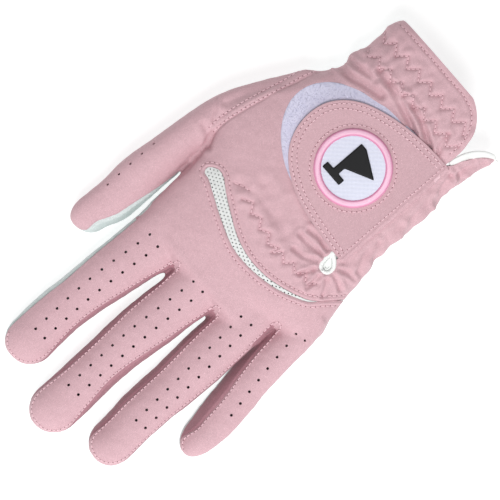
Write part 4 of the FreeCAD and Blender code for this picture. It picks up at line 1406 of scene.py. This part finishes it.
def object_space(nodes, links, stretch=(1, 1, 1)):
    where = nodes.new("ShaderNodeTexCoord")
    mapping = nodes.new("ShaderNodeMapping")
    mapping.inputs["Scale"].default_value = stretch
    links.new(where.outputs["Object"], mapping.inputs["Vector"])
    return mapping.outputs["Vector"]


def noise(nodes, links, vector, scale, detail=3.0, roughness=0.55):
    made = nodes.new("ShaderNodeTexNoise")
    made.inputs["Scale"].default_value = scale
    made.inputs["Detail"].default_value = detail
    made.inputs["Roughness"].default_value = roughness
    links.new(vector, made.inputs["Vector"])
    return made.outputs["Fac"]


def ramp(nodes, links, value, stops):
    made = nodes.new("ShaderNodeValToRGB")
    elements = made.color_ramp.elements
    for element, (position, colour) in zip(elements, (stops[0], stops[-1])):
        element.position, element.color = position, (*colour, 1)
    for position, colour in stops[1:-1]:
        elements.new(position).color = (*colour, 1)
    links.new(value, made.inputs["Fac"])
    return made.outputs["Color"]


def bump(nodes, links, height, strength, distance_m, before=None):
    made = nodes.new("ShaderNodeBump")
    made.inputs["Strength"].default_value = strength
    made.inputs["Distance"].default_value = distance_m
    links.new(height, made.inputs["Height"])
    if before is not None:
        links.new(before, made.inputs["Normal"])
    return made.outputs["Normal"]


def leather(name, light, dark, roughness=0.66):
    """Fine sheepskin: a tight pebbled grain over soft mottling."""
    made, nodes, links, shader = material(name)
    where = object_space(nodes, links)
    mottle = noise(nodes, links, where, 520, 4, 0.7)
    cells = nodes.new("ShaderNodeTexVoronoi")
    cells.feature = "DISTANCE_TO_EDGE"
    cells.inputs["Scale"].default_value = 2300
    links.new(where, cells.inputs["Vector"])
    crease = tuple(v * 0.76 for v in dark)
    grain = ramp(nodes, links, cells.outputs["Distance"], [(0.0, (0, 0, 0)), (0.42, (1, 1, 1))])
    tone = ramp(nodes, links, mottle, [(0.34, dark), (0.62, light)])
    blend = nodes.new("ShaderNodeMix")
    blend.data_type = "RGBA"
    links.new(grain, blend.inputs["Factor"])
    blend.inputs["A"].default_value = (*crease, 1)
    links.new(tone, blend.inputs["B"])
    links.new(blend.outputs["Result"], shader.inputs["Base Color"])
    pores = bump(nodes, links, grain, 0.25, 0.00009)
    skin = bump(nodes, links, noise(nodes, links, where, 620, 5, 0.7), 0.30, 0.00022, pores)
    links.new(skin, shader.inputs["Normal"])
    surface(shader, roughness, 0.28, 0.12)
    shader.inputs["Sheen Roughness"].default_value = 0.45
    return made


def woven(name, light, dark, scale, lean, strength=0.5, roughness=0.8, sheen=0.15):
    """Ribbed cloth: two crossing waves of thread with a little irregularity."""
    made, nodes, links, shader = material(name)
    where = object_space(nodes, links)
    waves = []
    for turn in (lean, lean + 90):
        mapping = nodes.new("ShaderNodeMapping")
        mapping.inputs["Rotation"].default_value = (0, 0, math.radians(turn))
        links.new(where, mapping.inputs["Vector"])
        wave = nodes.new("ShaderNodeTexWave")
        wave.inputs["Scale"].default_value = scale
        wave.inputs["Distortion"].default_value = 0.6
        wave.inputs["Detail"].default_value = 1.0
        links.new(mapping.outputs["Vector"], wave.inputs["Vector"])
        waves.append(wave.outputs["Fac"])
    first = bump(nodes, links, waves[0], strength, 0.0001)
    links.new(bump(nodes, links, waves[1], strength * 0.6, 0.0001, first), shader.inputs["Normal"])
    links.new(ramp(nodes, links, waves[0], [(0.1, dark), (0.7, light)]), shader.inputs["Base Color"])
    surface(shader, roughness, 0.2, sheen)
    return made


def pile(name, light, dark):
    """Felted loop pile."""
    made, nodes, links, shader = material(name)
    where = object_space(nodes, links)
    patches = noise(nodes, links, where, 420, 6, 0.75)
    links.new(ramp(nodes, links, patches, [(0.32, dark), (0.64, light)]), shader.inputs["Base Color"])
    fine = bump(nodes, links, noise(nodes, links, where, 2600, 4, 0.8), 0.7, 0.00025)
    links.new(fine, shader.inputs["Normal"])
    surface(shader, 0.95, 0.1, 0.35)
    return made


def plain(name, colour, roughness, sheen=0.0, coat=0.0, grain=0.0):
    made, nodes, links, shader = material(name)
    shader.inputs["Base Color"].default_value = (*colour, 1)
    surface(shader, roughness, 0.3, sheen)
    shader.inputs["Coat Weight"].default_value = coat
    if grain:
        height = noise(nodes, links, object_space(nodes, links), 1800, 4, 0.7)
        links.new(bump(nodes, links, height, grain, 0.0001), shader.inputs["Normal"])
    return made


def satin_ring(name):
    """Satin stitch round the badge: pale on its crown, deeper at both edges, where the half-round ring
    turns down. The deeper edges are painted shade.
    """
    made, nodes, links, shader = material(name)
    where = object_space(nodes, links, (1, 1, 0))
    reach = nodes.new("ShaderNodeVectorMath")
    reach.operation = "DISTANCE"
    reach.inputs[1].default_value = (BADGE_X * MM, BADGE_Y * MM, 0)
    links.new(where, reach.inputs[0])
    span = nodes.new("ShaderNodeMapRange")
    span.inputs["From Min"].default_value, span.inputs["From Max"].default_value = 0.01225, 0.01515
    links.new(reach.outputs["Value"], span.inputs["Value"])
    # The deep colour at both edges is painted shade on the sloping sides of the half-round ring.
    painted_edge_shade, pale = (0.72, 0.26, 0.44), (0.92, 0.56, 0.72)
    colour = ramp(nodes, links, span.outputs["Result"],
                  [(0.0, painted_edge_shade), (0.16, painted_edge_shade), (0.32, pale), (0.70, pale), (0.90, painted_edge_shade), (1.0, painted_edge_shade)])
    links.new(colour, shader.inputs["Base Color"])
    surface(shader, 0.4, 0.4, 0.2)
    return made


def make_materials():
    return {
        "pink_leather": leather("pink_leather", (0.81, 0.535, 0.588), (0.74, 0.468, 0.516)),
        # A darker copy of the pink leather: painted shade for the steep walls of the side strips and the
        # quirk.
        "side_leather_painted_shade": leather("side_leather_painted_shade", (0.56, 0.29, 0.335), (0.48, 0.24, 0.285)),
        "white_leather": leather("white_leather", (0.79, 0.87, 0.86), (0.73, 0.81, 0.80), 0.5),
        "vent_mesh": woven("vent_mesh", (0.84, 0.85, 0.84), (0.72, 0.735, 0.725), 700, 32, 0.6, 0.6),
        # A dark grey sheet under the vent mesh: painted shade for the inside of the glove seen through its
        # holes.
        "vent_shade_sheet": plain("vent_shade_sheet", (0.30, 0.30, 0.30), 0.9),
        "elastic": woven("elastic", (0.82, 0.82, 0.82), (0.66, 0.66, 0.67), 420, 0),
        "white_binding": plain("white_binding", (0.86, 0.875, 0.86), 0.42, 0.1, grain=0.15),
        "loop_pile": pile("loop_pile", (0.72, 0.70, 0.85), (0.63, 0.615, 0.78)),
        "hook_tape": plain("hook_tape", (0.80, 0.80, 0.83), 0.55),
        "badge_twill": woven("badge_twill", (0.83, 0.845, 0.95), (0.66, 0.68, 0.84), 620, 40, 0.7),
        "badge_thread": satin_ring("badge_thread"),
        "emblem_thread": plain("emblem_thread", (0.004, 0.004, 0.005), 0.6),
        "thread": plain("thread", (0.82, 0.57, 0.62), 0.6, 0.2),
        # Dark colour of the needle-hole funnels: painted shade in the holes.
        "needle_hole_shade": plain("needle_hole_shade", (0.27, 0.115, 0.14), 0.9),
    }


# ================================================================ putting it together

WHITE_PANELS = ("palm_panel", "thumb_base_palm", "index_palm", "middle_palm", "ring_palm", "little_palm",
                "thumb_palm", "slit_facing")


def place(obj, node, body, slot):
    """Hides a piece's CAD node, if it has one. A piece of the hand, or a badge, emblem or hook piece of the
    closure tab, is attached to its body; any other piece is only fixed where it lies in the frame.
    """
    if node:
        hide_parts(node)
    if body == "hand":
        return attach(obj, body)
    if body == "closure_tab":
        if node in ("badge_disc", "badge_border", "badge_emblem", "hook_patch") or obj.name == "hooks":
            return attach(obj, body)
        root = joint_point("closure_tab_hinge")
        root[0] = TAB_ROOT_X - 1.2
    else:
        root = joint_point(body.replace("_stall", "_flex"))
        root[1] = ROOTS[body.replace("_stall", "")]
    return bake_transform(obj)


def lay(paint, name, skin, thickness, node, body, slot, coat=None):
    """Gives a skin its thickness and paint, and places it with place."""
    place(solid(name, skin, thickness, paint[coat or slot]), node, body, slot)


def dress_leather(skin, paint):
    """Every leather panel of the hand and stalls."""
    hand, stalls = cut_stalls(skin)
    panels = hand_panels(hand)
    base = panels["thumb_base_back"]
    crease = nearest(flat(base), THUMB_CREASE)[0]
    panels["thumb_base_back"], panels["side_panel"] = clip(base, crease), clip(base, -crease)
    jobs = [(node, piece, "hand") for node, piece in panels.items()]
    for name, stall in stalls.items():
        jobs += [(node, piece, f"{name}_stall") for node, piece in stall_panels(name, stall).items()]
    for node, piece, body in jobs:
        slot = "white_leather" if node in WHITE_PANELS else "pink_leather"
        # Side strips and the quirk take the darker copy of the pink leather, which paints the shade on
        # their steep walls.
        side = node == "little_finger_quirk" or node.endswith("fourchette")
        lay(paint, f"shell_{node}", piece, LEATHER, node, body, slot, "side_leather_painted_shade" if side else None)
    return hand


def dress_trims(hand, paint):
    """Vent, elastics, facing, welt and flap lining."""
    mesh = vent_mesh_skin(hand)
    lay(paint, "vent_knit", mesh, 0.3, "mesh_vent", "hand", "vent_mesh")
    # A dark grey sheet under the mesh paints the shade inside the glove, seen through the holes.
    back = region(hand, lambda s: over_vent(s, 1.0))
    back = sunk(region(back, lambda s: flat(s)[:, 0] + 37.5), 1.35)
    lay(paint, "vent_shade_sheet", back, 0.2, None, "hand", "vent_mesh", "vent_shade_sheet")
    cuff = region(hand, lambda s: flat(s)[:, 1] - CUFF_Y - 1.5)
    for node, y in CUFF_BANDS.items():
        strip = band(cuff, y, 5.2, 14, 128, BAND_DEPTH)
        lay(paint, f"band_{node}", strip, 0.5, node, "hand", "elastic")
    line = resample(np.array([(-19, -2.4), (16, -4.6)], float), 1.0)
    strip = region(hand, lambda s: np.minimum(2.6 - distance(flat(s), line, 6), s.fields["normal"][:, 2]))
    strip = sunk(strip, BAND_DEPTH)
    lay(paint, "band_knuckle", strip, 0.5, "knuckle_elastic", "hand", "elastic")

    facing = rounded(np.array([(SLIT_X - 3.1, -7.8), (SLIT_X - 3.1, -70.6), (SLIT_X + 3.1, -70.6),
                               (SLIT_X + 3.1, -7.8)]), 2.4)
    skin = patch(facing, 0.5, lambda x, y, d: crown(x, y) - 0.98 + 0 * d, 0)
    skin = clip(skin, np.maximum(np.abs(skin.points[:, 0] - SLIT_X) - 0.3, skin.points[:, 1] + 18.0))
    lay(paint, "facing_slit", skin, 0.4, "slit_facing", "hand", "white_leather")

    ribbon = np.vstack([FLAP_EDGE[3:-4] + (-0.5, -0.2), FLAP_LINING[3:-6][::-1]])
    skin = patch(ribbon, 0.35, lambda x, y, d: crown(x, y) - 0.35 + rolled(d, 1.1, 0.9), 1)
    lay(paint, "ribbon_flap", skin, 0.5, "cuff_binding", "hand", "white_binding")

    welt = rounded(np.array([(-27.0, -17.4), (-27.0, -72.0), (-24.85, -72.0), (-24.85, -17.4)]), 0.6)

    def welt_top(x, y, d):
        p = np.column_stack([x, y, 0 * x])
        return crown(x, y) + 1.05 + rolled(d, 1.05) + 0.12 * ripple(p, 5, 41) + 0.06 * ripple(p, 1.9, 42)

    skin = patch(welt, 0.4, welt_top, 1)
    lay(paint, "welt", skin, 0.6, "tab_seam_welt", "hand", "pink_leather")
    return Ground(skin)


def dress_eye(ground, paint):
    """The white bound eye at the head of the wrist opening."""
    made = []
    for grow, radius, lift in ((0.1, 0.85, 0.0), (-1.25, 0.36, -0.25)):
        line = inset_loop(EYE, -grow)
        line = np.vstack([line, line[:3]])
        spots, _ = ground.at(line)
        spots[:, 2] = crown(line[:, 0], line[:, 1]) + lift
        made.append(tubes(spots[None], np.full(len(line), radius), np.array([[0, 0, 1.0]]), sides=14))
    obj = mesh_object("eye_binding", *merge(made), paint["white_binding"])
    place(obj, None, "hand", "white_binding")
    floor = patch(inset_loop(EYE, 0.2)[::2], 0.3, lambda x, y, d: crown(x, y) - 0.45 + 0 * d, 0)
    lay(paint, "eye_lining", floor, 0.3, None, "hand", "white_binding")


# Thickness and slot of the closure's sheets, by CAD node.
PADS = {
    "tab_leather": (1.05, "pink_leather"),
    "tab_lining": (0.35, "white_binding"),
    "hook_patch": (0.4, "hook_tape"),
    "loop_patch": (0.9, "loop_pile"),
}


def dress_closure(paint):
    skins = tab_skins()
    for node, skin in skins.items():
        thickness, slot = PADS[node]
        skin.fields["normal"] = skin.fields["normal"] * 0 + np.array([0, 0, 1.0])
        obj = solid(f"closure_{node}", skin, thickness, paint[slot])
        soften(obj)
        place(obj, node, "hand" if node == "loop_patch" else "closure_tab", slot)
    pts = tufts(LOOP, 6000, 51, lambda x, y: loop_top(x, y, 9.0 + 0 * x), 0.10, 0.26, 0.075)
    place(mesh_object("loops", *pts, paint["loop_pile"]), None, "hand", "loop_pile")
    pts = tufts(HOOK, 1700, 52, lambda x, y: tab_base(x, y) - 1.86, -0.34, 0.12, 0.05)
    place(mesh_object("hooks", *pts, paint["hook_tape"]), None, "closure_tab", "hook_tape")

    lay(paint, "badge_cloth", badge_disc_skin(), 0.5, "badge_disc", "closure_tab", "badge_twill")
    border = badge_border_skin()
    obj = mesh_object("badge_ring", border.points, border.faces, paint["badge_thread"])
    place(obj, "badge_border", "closure_tab", "badge_thread")
    lay(paint, "badge_flag", emblem_skin(), 0.6, "badge_emblem", "closure_tab", "emblem_thread")
    return skins


def soften(obj):
    """Lets a pad with straight-down walls take its own smooth normals."""
    obj.data.normals_split_custom_set([(0, 0, 0)] * len(obj.data.loops))


def sew(name, body, rows, ground, paint, pitch=STITCH):
    rows = [r for r in rows if len(r) > 3]
    threads, holes = stitches(rows, ground, pitch)
    place(mesh_object(f"stitch_{name}", *threads, paint["thread"]), None, body, "thread")
    # The dark funnels paint the shade in the needle holes.
    place(mesh_object(f"needle_{name}", *holes, paint["needle_hole_shade"]), None, body, "thread")


def dress_stitches(ground, welt_ground, skins, paint):
    sew("hand", "hand", hand_rows() + fork_rows(), ground, paint)
    sew("gathers", "hand", ZIGZAGS, ground, paint, 1.65)
    for name in ("index", "middle", "ring", "little"):
        sew(name, f"{name}_stall", stall_row(name), ground, paint, 1.75)
    tab = Ground(skins["tab_leather"])
    inner = resample(TAB, 0.5)
    rows = [offset_line(inner, -gap) for gap in TAB_ROWS]
    rows = [r[r[:, 0] > TAB_ROOT_X + 1.2] for r in rows]
    rows.append(np.vstack([ring_line(BADGE_X, BADGE_Y, BADGE_ROW), [(BADGE_X + BADGE_ROW, BADGE_Y)]]))
    rows.append(resample(np.array([(TAB_ROOT_X + 0.1, -18.6), (TAB_ROOT_X + 0.1, -71)]), 1.0))
    sew("tab", "closure_tab", rows, tab, paint)
    dress_tacks(welt_ground, paint)


def dress_tacks(ground, paint):
    """Bar tacks across the welt.

    A thread with an end past the welt's edge is left out. That drops the first two tacks whole.
    """
    paths, sides = [], []
    for x, y in ((-26.2, -24.4), (-26.4, -47.6), (-26.0, -66.0)):
        for k in np.linspace(-1.3, 1.3, 9):
            line = np.array([(x - 1.0, y + k + 0.6), (x, y + k), (x + 1.0, y + k - 0.6)])
            spots, normals = ground.at(line)
            if np.isnan(spots).any():
                continue
            spots[:, 2] += np.array([-0.02, 0.16, -0.02])
            paths.append(spots)
            sides.append(normals[1])
    pts = tubes(np.array(paths), np.full(3, THREAD_RADIUS), np.array(sides))
    place(mesh_object("tacks", *pts, paint["thread"]), "bar_tacks", "hand", "thread")


# ================================================================ stage

WORLD_LIGHT, FLOOR_GREY, FLOOR_GLOW = 0.44, (0.50, 0.50, 0.50), 0.70
LAMP_TARGET = (0, 0.006, 0.01)
CAMERA = (0.0001, 0.006, 0.016 + 1.604)
# The photograph looks straight down, turned in plan.
PHOTO_RIGHT, PHOTO_UP = (-0.653, -0.757, 0), (0.757, -0.653, 0)


def lamp(name, location, size, watts, colour=(1, 1, 1)):
    data = bpy.data.lights.new(name, "AREA")
    data.shape, data.size, data.energy, data.color = "DISK", size, watts, colour
    made = bpy.data.objects.new(name, data)
    made.location = location
    aim = Vector(LAMP_TARGET) - Vector(location)
    made.rotation_euler = aim.to_track_quat("-Z", "Y").to_euler()
    bpy.context.scene.collection.objects.link(made)
    return made


def set_stage():
    scene = bpy.context.scene
    world = bpy.data.worlds.new("studio")
    world.use_nodes = True
    world.node_tree.nodes["Background"].inputs["Color"].default_value = (1, 1, 1, 1)
    world.node_tree.nodes["Background"].inputs["Strength"].default_value = WORLD_LIGHT
    scene.world = world
    lamp("overhead", (-0.32, 0.27, 1.1), 0.45, 7.4)
    lamp("low_fill", (-0.45, 0.62, 0.42), 0.35, 2.3)

    bpy.ops.mesh.primitive_plane_add(size=8, location=(0, 0, 0))
    floor = bpy.context.object
    floor.name = "floor"
    paper = plain("floor_paper", FLOOR_GREY, 0.9)
    glow = paper.node_tree.nodes["Principled BSDF"].inputs
    glow["Emission Color"].default_value, glow["Emission Strength"].default_value = (1, 1, 1, 1), FLOOR_GLOW
    floor.data.materials.append(paper)
    floor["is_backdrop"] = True

    data = bpy.data.cameras.new("camera")
    data.lens, data.sensor_width, data.clip_end = 300, 36, 10
    camera = bpy.data.objects.new("camera", data)
    camera.location = CAMERA
    right, up = (Vector(side).normalized() for side in (PHOTO_RIGHT, PHOTO_UP))
    back = right.cross(up)
    turn = [[right[i], up[i], back[i]] for i in range(3)]
    camera.rotation_euler = Matrix(turn).to_euler()
    scene.collection.objects.link(camera)
    scene.camera = camera
    scene.view_settings.view_transform = "Standard"


def visual_box():
    low, high = np.full(3, np.inf), np.full(3, -np.inf)
    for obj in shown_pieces():
        if obj.type == "MESH" and len(obj.data.vertices):
            co = np.empty(len(obj.data.vertices) * 3, np.float32)
            obj.data.vertices.foreach_get("co", co)
            co = co.reshape(-1, 3)
            low, high = np.minimum(low, co.min(0)), np.maximum(high, co.max(0))
    return [[float(v) for v in low], [float(v) for v in high]]


def dress():
    paint = make_materials()
    skin = dressed_form()
    ground = Ground(skin)
    hand = dress_leather(skin, paint)
    welt_ground = dress_trims(hand, paint)
    dress_eye(ground, paint)
    skins = dress_closure(paint)
    dress_stitches(ground, welt_ground, skins, paint)


dress()
set_stage()
{"cad": CAD_BOX, "visual": visual_box()}
